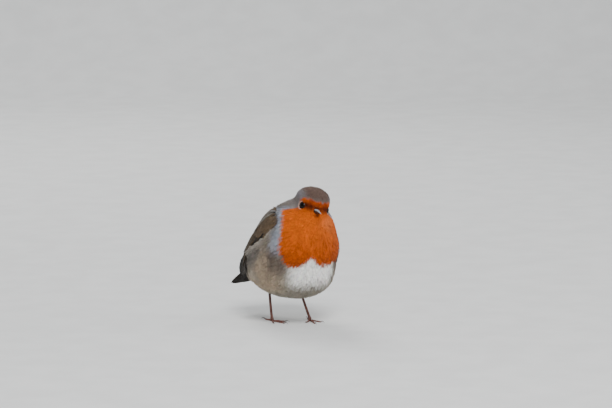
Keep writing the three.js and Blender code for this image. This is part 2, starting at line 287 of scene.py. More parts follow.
class Finish:
    """A material being built: one Principled shader and the nodes that feed it."""

    def __init__(self, name, **sockets):
        self.material = bpy.data.materials.new(name)
        self.material.use_nodes = True
        self.tree = self.material.node_tree
        self.shader = self.tree.nodes["Principled BSDF"]
        for socket, value in sockets.items():
            self.shader.inputs[socket.replace("_", " ")].default_value = value
        self.place = self.tree.nodes.new("ShaderNodeTexCoord").outputs["Object"]

    def node(self, kind, inputs=None, **settings):
        return add_node(self.tree, kind, inputs, **settings)

    def attribute(self, name, output="Vector"):
        return self.node("ShaderNodeAttribute", attribute_name=name).outputs[output]

    def split(self, vector):
        return self.node("ShaderNodeSeparateXYZ", {0: vector}).outputs

    def noise(self, scale, detail=3.0, rough=0.5, vector=None, squash=(1, 1, 1)):
        vector = self.place if vector is None else vector
        mapped = self.node("ShaderNodeMapping", {"Vector": vector, "Scale": squash})
        inputs = {"Vector": mapped.outputs[0], "Scale": scale, "Detail": detail, "Roughness": rough}
        return self.node("ShaderNodeTexNoise", inputs).outputs["Fac"]

    def math(self, operation, a, b=0.0):
        return self.node("ShaderNodeMath", {0: a, 1: b}, operation=operation).outputs[0]

    def times(self, a, b):
        return self.math("MULTIPLY", a, b)

    def spread(self, value, low, high, to_low, to_high):
        """A value brought smoothly from one range to another, and held at its ends."""
        keys = {"Value": value, "From Min": low, "From Max": high, "To Min": to_low, "To Max": to_high}
        return self.node("ShaderNodeMapRange", keys, interpolation_type="SMOOTHSTEP").outputs[0]

    def stretch(self, noise, to_low, to_high):
        """A noise brought to a range, from 0.3 to 0.7 where most of it lies."""
        return self.spread(noise, 0.3, 0.7, to_low, to_high)

    def mix(self, factor, a, b, blend_type="MIX"):
        """Two colours mixed. Each is a socket, a linear colour or a six-digit screen colour."""
        a, b = (linear(c) if isinstance(c, str) else c for c in (a, b))
        a, b = (c if isinstance(c, bpy.types.NodeSocket) else (*c, 1) for c in (a, b))
        made = self.node("ShaderNodeMix", {0: factor, 6: a, 7: b}, data_type="RGBA", blend_type=blend_type)
        return made.outputs[2]

    def colour(self, value):
        self.tree.links.new(value, self.shader.inputs["Base Color"])

    def tinted(self, tone):
        """Colours a piece by its own tint, made lighter or darker by a tone."""
        grey = self.node("ShaderNodeCombineColor", {0: tone, 1: tone, 2: tone}).outputs[0]
        self.colour(self.mix(1.0, self.attribute("tint", "Color"), grey, "MULTIPLY"))

    def roughness(self, value):
        self.tree.links.new(value, self.shader.inputs["Roughness"])

    def bump(self, height, depth, strength=1.0):
        made = self.node("ShaderNodeBump", {"Strength": strength, "Distance": depth, "Height": height})
        self.tree.links.new(made.outputs[0], self.shader.inputs["Normal"])


# ---- Colours of the plumage ----

ORANGE = linear("cd5c0b")
# deeper orange: the cheeks' own colour, and partly painted shade low on the breast
LOW_ORANGE_AND_SHADE = linear("a84504")
# the colour of the painted highlight on the throat
THROAT_HIGHLIGHT = linear("da935c")
# the lores' dark colour, also laid on as painted shadow under the bill
LORE_AND_SHADOW = linear("400f04")
EAR = linear("a35a3c")
CROWN = linear("5d4b43")
NAPE = linear("736b67")
MANTLE = linear("6c665e")
BAND = linear("9196a2")
WHITE = linear("f7f5f1")
# a darker grey-buff, painted shade low on the belly
LOW_BELLY_SHADE = linear("8e877a")
FLANK = linear("a5927b")
DUSKY_FLANK = linear("665a50")
WARM_FLANK = linear("9b8160")
VENT = linear("b9ac97")
EYE_RING = linear("d2ab98")
# a pale edge colour: the flank's own edge over the wing, and painted highlight on the scapulars and low under
# the wing
PALE_EDGE_AND_HIGHLIGHT = linear("b9afa2")

waves = np.random.default_rng(23)
WAVE_COUNT = 18
WAVE_SHAPE = v(1, 0.8, 0.55)  # the patches are longest down the body
wave_ways = unit(waves.normal(0, 1, (WAVE_COUNT, 3)))
MOTTLE_WAVES = wave_ways * waves.uniform(0.45, 1.3, (WAVE_COUNT, 1)) * WAVE_SHAPE
MOTTLE_STARTS = waves.uniform(0, 2 * np.pi, WAVE_COUNT)


def mottle(points):
    """Uneven soft patches a few millimetres across and longer down the body, between -1 and 1."""
    return np.clip(np.sin(points @ MOTTLE_WAVES.T + MOTTLE_STARTS).sum(axis=1) / 6, -1, 1)


# Where the orange ends in the head's frame: (height, how far back), from over the eye down to the ear.
FACE_EDGE = v(-30, -12, -9, -5, 3.4, 30), v(0, 0, 1.5, -5.2, -5.0, -5.0)
# The sides of the orange bib: degrees round the body from straight ahead, at each height above the floor.
BIB_HEIGHTS = v(46, 52, 58, 66, 80, 90, 95, 100)
BIB_RIGHT = v(-38, -47, -55, -60, -58, -58, -62, -62)
BIB_LEFT = v(22, 25, 29, 35, 42, 38, 38, 34)
BIB_FOOT = 52.6  # the height of its lower edge
BIB_MIDDLE = -19  # the bearing of the notch in that edge
WHITE_MIDDLE = -14  # the bearing of the middle of the white belly
BACK_WAY = unit(v(0, 0.5, 0.85))


def bearing_of(points):
    """Degrees round the body from straight ahead, and millimetres from the body's upright middle line."""
    x, y = points[:, 0], points[:, 1] + 2
    return np.degrees(np.arctan2(x, -y)), np.hypot(x, y)


def bib(points):
    """How far inside the breast's orange each point lies, in millimetres, and its bearing."""
    z = points[:, 2]
    bearing, reach = bearing_of(points)
    right = np.interp(z, BIB_HEIGHTS, BIB_RIGHT)
    left = np.interp(z, BIB_HEIGHTS, BIB_LEFT)
    sideways = np.radians(np.minimum(bearing - right, left - bearing)) * reach
    off = bearing - BIB_MIDDLE
    lower = BIB_FOOT + 4.6 * np.exp(-((off / 7) ** 2)) + 1.2 * np.cos(np.radians(9 * off))
    return np.minimum(sideways, z - lower), bearing


def orange_face(points):
    """How far inside the orange of the face each point lies, in millimetres."""
    x, y, z = in_head(points).T
    top = 3.2 + 0.8 * smooth(4.5, 8, np.abs(x)) - 0.06 * np.abs(x) ** 1.5 * smooth(-9, -5, y)
    top += 0.7 * mottle(points * 2.6)
    return np.minimum(np.interp(z, *FACE_EDGE) - y, top - z)


def headness(points):
    """1 on the head and 0 on the body."""
    return 1 - smooth(15, 25, apart(in_head(points), v(0, 0, 1)))


def lore_distance(points):
    """How far each point lies from the dark streak between an eye and the bill."""
    q = in_head(points)
    q[:, 0] = np.abs(q[:, 0])
    start, end = v(7.8, -10.6, -1.9), v(4.4, -13.2, -2.6)
    streak = end - start
    t = np.clip((q - start) @ streak / (streak @ streak), 0, 1)
    return apart(q, start + t[:, None] * streak)


def layered(base, *layers):
    """Colours laid in turn over a base, each as (colour, share)."""
    for colour, share in layers:
        base = blend(base, colour, share)
    return base


def body_colour(points, normals, off):
    """The body apart from its orange: white in front, grey and buff on the flanks, olive brown above, a
    darker grey-buff low on the belly as painted shade, and a painted rim light along the flank under the
    wing.

    off is how many degrees each point lies round the body from the middle of the white.
    """
    x, y, z = points.T
    dorsal = smooth(-0.02, 0.3, dot(normals, BACK_WAY)) * smooth(-22, -8, y + 0.25 * np.abs(x))
    dorsal = np.maximum(dorsal, smooth(-8, 6, y) * smooth(-14, 0, z - 62 + 0.55 * y))
    # painted rim light: the flank is painted pale low down under the wing
    rim_light_under_wing = smooth(82, 100, off) * smooth(26, 40, z) * (1 - smooth(24, 36, y))
    # painted shade: below the white the belly turns a darker grey-buff
    under = layered(
        LOW_BELLY_SHADE,
        (FLANK, smooth(24, 70, off) * smooth(22, 34, z)),
        (WHITE, (1 - smooth(20, 44, off)) * smooth(28, 44, z)),
        (DUSKY_FLANK, 0.95 * smooth(29, 41, off) * (1 - smooth(58, 80, off)) * smooth(38, 50, z)),
        (WARM_FLANK, 0.8 * smooth(75, 120, off) * smooth(24, 38, z)),
        (VENT, smooth(28, 40, y) * (1 - smooth(40, 50, z))),
        (blend(PALE_EDGE_AND_HIGHLIGHT, WARM_FLANK, 0.3), 0.85 * rim_light_under_wing),
    )
    under = under * (1 + (0.05 + 0.15 * smooth(22, 50, off)) * mottle(points))[:, None]
    return blend(under, MANTLE, dorsal)


def crown_colour(head, wide, hz):
    """Brown on top of the head, greyer down its sides, with a painted sheen of paler grey high on each side.
    """
    top = blend(NAPE, CROWN, smooth(0, 7, hz) * (1 - 0.4 * smooth(9.5, 13, wide)))
    # painted sheen: paler grey high on the sides of the head
    painted_side_sheen = head * smooth(7.5, 13, wide) * smooth(0, 4, hz) * (1 - smooth(7, 12, hz))
    return blend(top, blend(NAPE, BAND, 0.5), 0.45 * painted_side_sheen)


def orange_colour(points, head, off, patchy):
    """Deep orange low on the breast, partly as painted shade, and over the cheeks and at the ears, brighter
    between, with a painted highlight on the throat.
    """
    hx, hy, hz = in_head(points).T
    wide, z = np.abs(hx), points[:, 2]
    cheek = head * smooth(-9, -3, hz) * (1 - smooth(3, 7, hz)) * smooth(3, 7, wide)
    ear = head * smooth(-8.5, -6, hy) * smooth(-9, -4, hz) * (1 - smooth(0, 3, hz))
    # the orange deepens lower on the breast, partly its own colour and partly painted shade
    rich = layered(
        LOW_ORANGE_AND_SHADE,
        (ORANGE, smooth(50, 90, z) * (1 - 0.5 * smooth(44, 58, off))),
        (LOW_ORANGE_AND_SHADE, 0.6 * cheek),
        (EAR, 0.7 * ear),
    )
    rich = rich * (1 + 0.09 * patchy * (1 - 0.4 * head))[:, None]
    forehead = head * smooth(-3.5, -1, hz) * (1 - smooth(6.5, 9.5, wide))
    # painted highlight: a paler orange spot on the throat below the bill
    throat = np.exp(-((apart(points, v(4, -31, 83)) / 7) ** 2))
    return layered(rich, (rich * v(0.62, 0.5, 0.5), forehead), (THROAT_HIGHLIGHT, 0.5 * throat))


def markings(points, normals):
    """The plumage's colour at each point, linear."""
    head = headness(points)
    hx, hy, hz = in_head(points).T
    wide, z = np.abs(hx), points[:, 2]
    in_bib, bearing = bib(points)
    in_face = orange_face(points)
    inside = np.where(hz > -9, in_face, np.maximum(in_bib, in_face - 2))
    inside = in_bib * (1 - smooth(-16, -9, hz)) + inside * smooth(-16, -9, hz)
    off = np.abs(bearing - WHITE_MIDDLE)
    patchy = mottle(points)
    base = blend(body_colour(points, normals, off), crown_colour(head, wide, hz), head)
    # blue-grey on the sides of the neck and breast, and faintly round the brow
    width = 1.6 + 3.6 * (1 - smooth(-12, 0, hz))
    band = smooth(-2.6 * width, -0.4 * width, inside) * smooth(56, 70, z) * smooth(26, 40, off)
    brow_band = 0.3 * head * smooth(-2.4, -0.5, inside) * (1 - smooth(1, 5, hz))
    band = np.maximum(band * (1 - head * 0.3), brow_band) * (1 - 0.55 * smooth(5, 9, hz))
    base = blend(base, BAND * (1 + 0.2 * patchy)[:, None], 0.9 * band)
    soft = 1.8 - 0.6 * head  # half the width of the orange's blurred edge
    rich = orange_colour(points, head, off, patchy)
    smoky = 0.9 + 0.1 * mottle(points * 3)
    lores = np.clip((1 - smooth(1.0, 4.4, lore_distance(points))) * head * smoky, 0, 1)
    # painted shadow under the bill, in the lores' dark colour
    chin = 1 - smooth(1.0, 3.0, apart(in_head(points), v(0, -15.2, -7.0)))
    bristles = np.linalg.norm([np.maximum(wide - 1.6, 0), 0.5 * (hy + 15), hz + 1.9], axis=0)
    eye_ring = (1 - smooth(4.4, 5.2, eye_distance(points))) * smooth(-9.2, -6.8, hy)
    return layered(
        base,
        (rich, smooth(-soft, soft, inside)),
        (LORE_AND_SHADOW, lores),
        (LORE_AND_SHADOW, 0.55 * chin),
        (LORE_AND_SHADOW * 0.5, 0.85 * (1 - smooth(0.7, 1.7, bristles))),
        (EYE_RING, 0.8 * eye_ring),
    )


# ---- The skin: one closed form under the coat ----

SPINE = np.array([v(0, 34, 44), v(0, 14, 52), v(0, -6, 64), v(0, -20, 83), HEAD])
ROUND = 150
REAR_RINGS, SPINE_RINGS, FRONT_RINGS = 26, 84, 34
FARTHEST, STRIDE, HALVINGS = 90.0, 2.0, 11  # how a ray looks for the plumage's outside
SOCKET_DEPTH = 1.1
SKIN_SHADE = 0.72  # painted shade: the skin is this much darker than the feathers over it, for the gaps between them


def smooth_path(knots, count):
    """Points evenly spaced along a smooth curve through the knots, and its directions there."""
    ends = np.vstack([2 * knots[0] - knots[1], knots, 2 * knots[-1] - knots[-2]])
    t = np.linspace(0, 1, 60)[:, None]
    dense = []
    for a, b, c, d in zip(ends, ends[1:], ends[2:], ends[3:]):
        bend = 2 * a - 5 * b + 4 * c - d
        twist = 3 * b - a - 3 * c + d
        dense.append(0.5 * (2 * b + (c - a) * t + bend * t**2 + twist * t**3))
    dense = np.vstack(dense)
    walked = np.r_[0, np.cumsum(np.linalg.norm(np.diff(dense, axis=0), axis=1))]
    keep = np.r_[True, np.diff(walked) > 1e-6]
    at = np.linspace(0, walked[-1], count)
    path = np.stack([np.interp(at, walked[keep], dense[keep, i]) for i in range(3)], axis=1)
    return path, unit(np.gradient(path, axis=0))


def leaving(origins, rays):
    """Where each ray first leaves the plumage."""
    near = np.zeros(len(rays))
    far = np.full(len(rays), FARTHEST)
    found = np.zeros(len(rays), bool)
    for reach in np.arange(STRIDE, FARTHEST, STRIDE):
        out = ~found & (plumage(origins + rays * reach) > 0)
        near[out], far[out] = reach - STRIDE, reach
        found |= out
        if found.all():
            break
    for _ in range(HALVINGS):
        half = (near + far) / 2
        outside = plumage(origins + rays * half[:, None]) > 0
        near, far = np.where(outside, near, half), np.where(outside, half, far)
    return origins + rays * near[:, None]


def plumage_grid():
    """Rings of points over the whole outline, from the rear round to the crown, and its end points."""
    path, ways = smooth_path(SPINE, SPINE_RINGS)
    stations = [(path[0], ways[0], -90 + 90 * i / REAR_RINGS) for i in range(1, REAR_RINGS)]
    stations += [(at, way, 0) for at, way in zip(path, ways)]
    stations += [(path[-1], ways[-1], 90 * i / FRONT_RINGS) for i in range(1, FRONT_RINGS)]
    around = 2 * np.pi * np.arange(ROUND) / ROUND
    origins, rays = [], []
    for at, way, lean in stations:
        up = np.cross(v(1, 0, 0), way)
        square = np.cos(around)[:, None] * v(1, 0, 0) + np.sin(around)[:, None] * up
        rays.append(square * math.cos(math.radians(lean)) + way * math.sin(math.radians(lean)))
        origins.append(np.tile(at, (ROUND, 1)))
    grid = leaving(np.vstack(origins), unit(np.vstack(rays)))
    poles = leaving(path[[0, -1]], v(-1, 1)[:, None] * ways[[0, -1]])
    return grid.reshape(len(stations), ROUND, 3), poles


def bill_distance(points):
    return apart(in_head(points), v(0, -12.5, -3.5))


def coat_depth(points):
    """How deep the skin lies under the feathers' tips."""
    away = bill_distance(points)
    return 0.5 + 0.75 * smooth(4, 18, away) + 0.75 * smooth(20, 45, away)


def bared(points):
    """How far the face draws back round the bill's root, in millimetres."""
    return 2.6 * (1 - smooth(2.2, 5.4, apart(in_head(points), v(0, -15.8, -3.6))))


GRID, POLES = plumage_grid()
RINGS = len(GRID)
flat_grid = GRID.reshape(-1, 3)
GRID_OUT = unit(slope(flat_grid)).reshape(GRID.shape)


def inset(share):
    """A place on a map, from 0 to 1, kept off the map's edges."""
    return 0.02 + 0.96 * share


def skin_row(ring):
    """How high on the skin's map a ring lies."""
    return inset((ring + 1) / (RINGS + 1))


def skin_piece():
    outline = np.vstack([flat_grid, POLES])
    normals = unit(slope(outline))
    # a shallow socket round each eye, so that the lids stand in it
    socket = SOCKET_DEPTH * (1 - smooth(2.8, 5.0, eye_distance(outline)))
    sunk = outline - normals * (coat_depth(outline) + socket + bared(outline))[:, None]
    rings, poles = sunk[:-2].reshape(GRID.shape), sunk[-2:]
    points, faces, corners = closed_rings(rings, poles, skin_row(np.arange(-1, RINGS + 1)))
    # painted shade: the skin is darker than the feathers over it
    tint = markings(outline, normals) * SKIN_SHADE
    return make_piece("skin", points, faces, {"skin_map": corners}, tint)


def grid_sample(j, k, field):
    """A field of the grid at fractional ring j and place k."""
    j0, k0 = np.floor(j).astype(int), np.floor(k).astype(int)
    a, b = (j - j0)[:, None], (k - k0)[:, None]
    j1, k1 = np.minimum(j0 + 1, RINGS - 1), (k0 + 1) % ROUND
    k0 = k0 % ROUND
    before = field[j0, k0] * (1 - a) + field[j1, k0] * a
    after = field[j0, k1] * (1 - a) + field[j1, k1] * a
    return before * (1 - b) + after * b


# ---- Wings: the folded surface that their feathers lie on ----

WING_KNOTS = v(19, -9, 88.5), v(33, 4, 83), v(29, 31, 65), v(13, 48.5, 37.7)
WING_BREADTH = 12.5
WING_TIP = 3.4  # half of its breadth at the blunt tip
WING_TWIST = v(1.3, -0.4, 0.0)  # turns the tips more upright
WING_DROP = 0.85  # how far the tips hang below the wing's line, in breadths
WING_FLARE = v(1.8, 1.6, 0.0)  # how far the tips stand off the rump
LINE_STEPS = 400


def wing_line(s):
    a, b, c, d = WING_KNOTS
    s = np.asarray(s, float)[:, None]
    return a * (1 - s) ** 3 + 3 * b * s * (1 - s) ** 2 + 3 * c * s**2 * (1 - s) + d * s**3


dense_line = wing_line(np.linspace(0, 1, LINE_STEPS))
line_walk = np.r_[0, np.cumsum(np.linalg.norm(np.diff(dense_line, axis=0), axis=1))]
line_walk /= line_walk[-1]


def wing_breadth(s):
    bend = np.sqrt(np.clip(s / 0.22, 0, 1))
    point = np.maximum(1 - s, 0) ** 0.62
    return np.maximum(WING_BREADTH * (0.35 + 0.65 * bend) * np.minimum(1, 1.25 * point), WING_TIP)


def wing_surface(s, t, height):
    """Points of the left wing and the way out there.

    s runs from the bend to the tip, and t from the wing's lower edge to its upper one.
    """
    s, t = np.clip(np.asarray(s, float), 0, 1), np.asarray(t, float)
    even = np.interp(s, line_walk, np.linspace(0, 1, LINE_STEPS))
    base = wing_line(even)
    along = unit(wing_line(np.minimum(even + 0.01, 1)) - wing_line(np.minimum(even + 0.01, 1) - 0.02))
    out = unit(over(base, 3.0) - over(base, 0.0))
    # towards their tips the quills stand free of the rump, more upright and a little lower
    out = unit(out + WING_TWIST * smooth(0.58, 1.0, s)[:, None])
    up = unit(np.cross(out, along))
    place = base + up * ((t - WING_DROP * smooth(0.52, 0.8, s)) * wing_breadth(s))[:, None]
    place = place + WING_FLARE * smooth(0.7, 1.0, s)[:, None]
    free = smooth(0.6, 0.85, s)[:, None]
    height = np.broadcast_to(height, s.shape)
    return over(place, height) * (1 - free) + (place + out * height[:, None]) * free, out


def wing_place(points):
    """Where points lie on the nearer wing: s, t, and how far they lie past the wing's line."""
    mirrored = np.array(points, float)
    mirrored[:, 0] = np.abs(mirrored[:, 0])
    every, beside = 8, 4
    near = np.argmin(((mirrored[:, None] - dense_line[None, ::every]) ** 2).sum(2), axis=1) * every
    s = line_walk[near]
    base = dense_line[near]
    ahead = dense_line[np.minimum(near + beside, LINE_STEPS - 1)]
    along = unit(ahead - dense_line[np.maximum(near - beside, 0)])
    out = unit(slope(base))
    up = unit(np.cross(out, along))
    away = mirrored - base
    return s, dot(away, up) / wing_breadth(s), dot(away, along)


# ---- Loose feathers: barbs on a shaft, one unit long ----

FEATHER_INPUTS = "First feather", "Second feather", "Third feather"


def loose_feather(name, barbs, spread, seed):
    """A feather lying along +Y whose barbs part at its edge. Its own map, vane, runs 0 to 1 each way."""
    dice = np.random.default_rng(seed)
    points, faces, flat = [], [], []

    def ribbon(spots, halves, lift=0.0):
        """A flat strip through some spots, with half its width at each, which is 0 at a pointed end."""
        first = len(points)
        way = unit(spots[-1] - spots[0])
        across = v(way[1], -way[0])
        for spot, half in zip(spots, halves):
            for edge in (-1, 1) if half > 0 else (0,):
                x, y = spot + across * half * edge
                flat.append((x, y))
                points.append(v(x, y, 2 * y * (1 - y) - 0.9 * x * x + lift * y))
        for i in range(len(spots) - 1):
            a = first + 2 * i
            faces.append((a, a + 1, a + 3, a + 2) if halves[i + 1] > 0 else (a, a + 1, a + 2))

    def leaning(angle):
        return v(math.sin(angle), math.cos(angle))

    ribbon([v(0, 0), v(0, 0.5), v(0, 0.95)], [0.022, 0.016, 0.008])
    for side in (-1, 1):
        for i in range(barbs):
            f = (i + dice.uniform(0.2, 0.6)) / barbs
            lean = math.radians(58 - 34 * f + dice.uniform(-6, 6))
            width = 0.5 * spread * math.sin(math.pi * (0.16 + 0.72 * f)) ** 0.6
            reach = min(width / math.sin(lean), 1.08 - 0.9 * f) * dice.uniform(0.86, 1.12)
            root = v(0, 0.04 + 0.86 * f)
            elbow = root + 0.55 * reach * v(side, 1) * leaning(lean)
            tip = elbow + 0.45 * reach * v(side, 1) * leaning(lean - math.radians(16))
            half = 0.46 * 0.86 / barbs
            ribbon([root, elbow, tip], [half, 0.7 * half, 0], dice.uniform(-0.02, 0.07))
    for lean in (-24, -9, 3, 13, 26):
        way = dice.uniform(0.14, 0.24) * leaning(math.radians(lean))
        ribbon([v(0, 0.86), v(0, 0.86) + way], [0.03, 0], dice.uniform(-0.02, 0.06))
    flat = np.array(flat)
    flat = (flat - flat.min(0)) / (flat.max(0) - flat.min(0))
    corners = [flat[c] for face in faces for c in face]
    return bpy.data.objects.new(name, smooth_mesh(name, points, faces, {"vane": corners}))


def feather_set(name, barbs, spread):
    return [loose_feather(f"{name}_{i}", barbs, spread, 11 * i + barbs) for i in range(len(FEATHER_INPUTS))]


def coat_tree():
    """Stands feathers on root points, and gives each its small patch of the map called OFBake."""
    tree = bpy.data.node_groups.new("coat_on_roots", "GeometryNodeTree")
    inputs = [("Geometry", "Geometry", None)]
    inputs += [(label, "Object", None) for label in FEATHER_INPUTS]
    inputs += [("Feather size", "Float", 1.0), ("Size variation", "Float", 0.12)]
    inputs += [("Map patch", "Float", 0.003), ("Seed", "Int", 5), ("Finish", "Material", None)]
    for label, kind, value in inputs:
        socket = tree.interface.new_socket(label, in_out="INPUT", socket_type="NodeSocket" + kind)
        if value is not None:
            socket.default_value = value
    tree.interface.new_socket("Geometry", in_out="OUTPUT", socket_type="NodeSocketGeometry")
    given = tree.nodes.new("NodeGroupInput").outputs
    made = tree.nodes.new("NodeGroupOutput").inputs

    def node(kind, inputs, **settings):
        return add_node(tree, kind, inputs, **settings).outputs

    def named(name, kind):
        return node("GeometryNodeInputNamedAttribute", {"Name": name}, data_type=kind)["Attribute"]

    def vector_math(operation, first, key, second):
        return node("ShaderNodeVectorMath", {0: first, key: second}, operation=operation)[0]

    def number_math(operation, first, second):
        return node("ShaderNodeMath", {0: first, 1: second}, operation=operation)[0]

    kinds = tree.nodes.new("GeometryNodeJoinGeometry")
    for label in reversed(FEATHER_INPUTS):
        info = node("GeometryNodeObjectInfo", {"Object": given[label], "As Instance": True})
        tree.links.new(info["Geometry"], kinds.inputs[0])
    seed = given["Seed"]
    last = len(FEATHER_INPUTS) - 1
    pick = node("FunctionNodeRandomValue", {"Min": 0, "Max": last, "Seed": seed}, data_type="INT")["Value"]
    ends = {
        "Min": number_math("SUBTRACT", 1.0, given["Size variation"]),
        "Max": number_math("ADD", 1.0, given["Size variation"]),
    }
    grown = node("FunctionNodeRandomValue", {"Seed": seed, **ends}, data_type="FLOAT")["Value"]
    overall = number_math("MULTIPLY", grown, given["Feather size"])
    stood = node(
        "GeometryNodeInstanceOnPoints",
        {
            "Points": given["Geometry"],
            "Instance": kinds.outputs[0],
            "Pick Instance": True,
            "Instance Index": pick,
            "Rotation": named("lie", "QUATERNION"),
            "Scale": vector_math("SCALE", named("size", "FLOAT_VECTOR"), "Scale", overall),
        },
    )
    real = node("GeometryNodeRealizeInstances", {"Geometry": stood[0]})
    centred = vector_math("SUBTRACT", named("vane", "FLOAT_VECTOR"), 1, (0.5, 0.5, 0))
    patch_place = vector_math("SCALE", centred, "Scale", given["Map patch"])
    spot = vector_math("ADD", patch_place, 1, named("root_place", "FLOAT_VECTOR"))
    mapped = node(
        "GeometryNodeStoreNamedAttribute",
        {"Geometry": real[0], "Name": "OFBake", "Value": spot},
        data_type="FLOAT2",
        domain="CORNER",
    )
    dressed = node("GeometryNodeSetMaterial", {"Geometry": mapped[0], "Material": given["Finish"]})
    tree.links.new(dressed[0], made[0])
    return tree


def set_input(modifier, label, value):
    for item in modifier.node_group.interface.items_tree:
        if item.item_type == "SOCKET" and item.in_out == "INPUT" and item.name == label:
            modifier[item.identifier] = value


def quaternions(along, out):
    """Rotations that lay +Y along a direction with +Z to the outside."""
    y = unit(along)
    x = unit(np.cross(y, out))
    z = np.cross(x, y)
    frames = np.stack([x, y, z], axis=2)
    return np.array([Matrix(m.tolist()).to_quaternion() for m in frames], np.float32)


def stand_feathers(name, tree, feathers, roots, finish, seed):
    """Realizes the feathers of one tract as a plain mesh."""
    mesh = bpy.data.meshes.new(name + "_roots")
    mesh.from_pydata(((roots["at"] + STANCE) * MM).tolist(), [], [])
    place = spread_over_map(roots["place"])
    store(mesh, "lie", "QUATERNION", roots["lie"])
    store(mesh, "size", "FLOAT_VECTOR", roots["size"] * MM)
    store(mesh, "root_place", "FLOAT_VECTOR", np.c_[place, np.zeros(len(place))])
    store_tint(mesh, roots["tint"])
    holder = shown(name + "_roots", mesh)
    grow = holder.modifiers.new("feathers", "NODES")
    grow.node_group = tree
    for label, feather in zip(FEATHER_INPUTS, feathers):
        set_input(grow, label, feather)
    set_input(grow, "Seed", seed)
    set_input(grow, "Finish", finish)
    depsgraph = bpy.context.evaluated_depsgraph_get()
    grown = holder.evaluated_get(depsgraph)
    plain = bpy.data.meshes.new_from_object(grown, preserve_all_data_layers=True, depsgraph=depsgraph)
    holder.modifiers.remove(grow)
    bpy.data.objects.remove(holder)
    for key in ("lie", "size", "root_place"):
        if key in plain.attributes:
            plain.attributes.remove(plain.attributes[key])
    plain.name = name
    return shown(name, plain)


# ---- Where the coat's feathers grow, how they lie and how large they are ----

TRIES = 3.6  # places tried for each feather
CROWDING = 0.84  # the least gap between roots, as a share of their spacing
EYE_CLEARING = 4.08  # no feather grows nearer to the middle of an eye
STRAY_YAW, STRAY_ROLL = 7, 8  # degrees that single feathers stray from the lie of the coat
FRONT_MIDDLE, FRONT_HALF = -8, 58  # bearings of the breast and belly, for the coat's pieces


def lie_of_coat(points, normals):
    """Away from the bill on the head, and down and back towards the tail on the body."""
    away = in_head(points) - v(0, -12.5, -3.2)
    away = unit(away) @ HEAD_TURN.T
    back = np.tile(unit(v(0, 0.72, -0.7)), (len(points), 1))
    back[:, 0] = 0.004 * points[:, 0] * smooth(20, -10, points[:, 1])
    way = blend(back, away, headness(points))
    for side in SIDES:  # the feathers part in front of each eye and close behind it
        near = 1 - smooth(4.0, 8.6, apart(points, EYES[side]))
        outwards = flattened(points - EYES[side], EYE_LOOKS[side])
        way -= outwards * (np.minimum(dot(way, outwards), 0) * near * 1.15)[:, None]
    return flattened(way, normals)


def feather_length(points):
    """Millimetres: smallest round the bill and the eyes, longest on the flanks and the rump."""
    body = 7.6 + 1.8 * smooth(40, 90, np.abs(np.degrees(np.arctan2(points[:, 0], -points[:, 1]))))
    body -= 1.2 * smooth(74, 94, points[:, 2])
    length = 1.3 + (body - 1.3) * smooth(2, 31, bill_distance(points)) ** 0.85
    near_eye = eye_distance(points)
    return np.minimum(length, 0.8 + 2.0 * smooth(3.9, 11.5, near_eye) + 6 * smooth(8.5, 16, near_eye))


def root_spacing(points):
    return 0.26 + 0.118 * feather_length(points)


def thinned(points, gaps):
    """Keeps points in their order where none kept before lies within their gap."""
    cell = 1.7  # at least the widest gap
    beside = [(i, j, k) for i in (-1, 0, 1) for j in (-1, 0, 1) for k in (-1, 0, 1)]
    kept, cells = [], {}
    keys = np.floor(points / cell).astype(int).tolist()
    for i, ((x, y, z), (kx, ky, kz), square) in enumerate(zip(points.tolist(), keys, (gaps**2).tolist())):
        near = (spot for dx, dy, dz in beside for spot in cells.get((kx + dx, ky + dy, kz + dz), ()))
        if all((a - x) ** 2 + (b - y) ** 2 + (c - z) ** 2 >= square for a, b, c in near):
            kept.append(i)
            cells.setdefault((kx, ky, kz), []).append((x, y, z))
    return np.array(kept)


def on_bill_or_wing(points):
    """Where the bill or a wing takes the place of the coat."""
    x, y, z = in_head(points).T
    s, t, past = wing_place(points)
    on_bill = (np.abs(x) < 3.1) & (np.abs(z + 3.4) < 2.5) & (y < -10)
    return on_bill | ((np.abs(t) < 0.86) & (s > 0.03) & (s < 0.9) & (np.abs(past) < 3))


def coat_roots():
    across = np.roll(GRID, -1, axis=1) - GRID
    along = np.diff(GRID, axis=0, append=GRID[-1:])
    area = np.linalg.norm(np.cross(across, along), axis=2)
    gap = root_spacing(flat_grid).reshape(area.shape)
    chance = (area / gap**2).ravel()
    wanted = int(TRIES * chance.sum())
    cells = rng.choice(len(chance), wanted, p=chance / chance.sum())
    j = cells // ROUND + rng.random(wanted)
    k = cells % ROUND + rng.random(wanted)
    j = np.minimum(j, RINGS - 1.001)
    at = grid_sample(j, k, GRID)
    out = unit(grid_sample(j, k, GRID_OUT))
    keep = (eye_distance(at) > EYE_CLEARING) & ~on_bill_or_wing(at)
    j, k, at, out = j[keep], k[keep], at[keep], out[keep]
    kept = thinned(at, root_spacing(at) * CROWDING)
    j, k, at, out = j[kept], k[kept], at[kept], out[kept]
    way = lie_of_coat(at, out)
    length = feather_length(at) * rng.uniform(0.88, 1.14, len(at))
    foot = at - out * (coat_depth(at) + 0.15 + bared(at))[:, None]
    return laid(foot, at, out, way, length, 0.0, markings, np.c_[(k % ROUND) / ROUND, skin_row(j)])


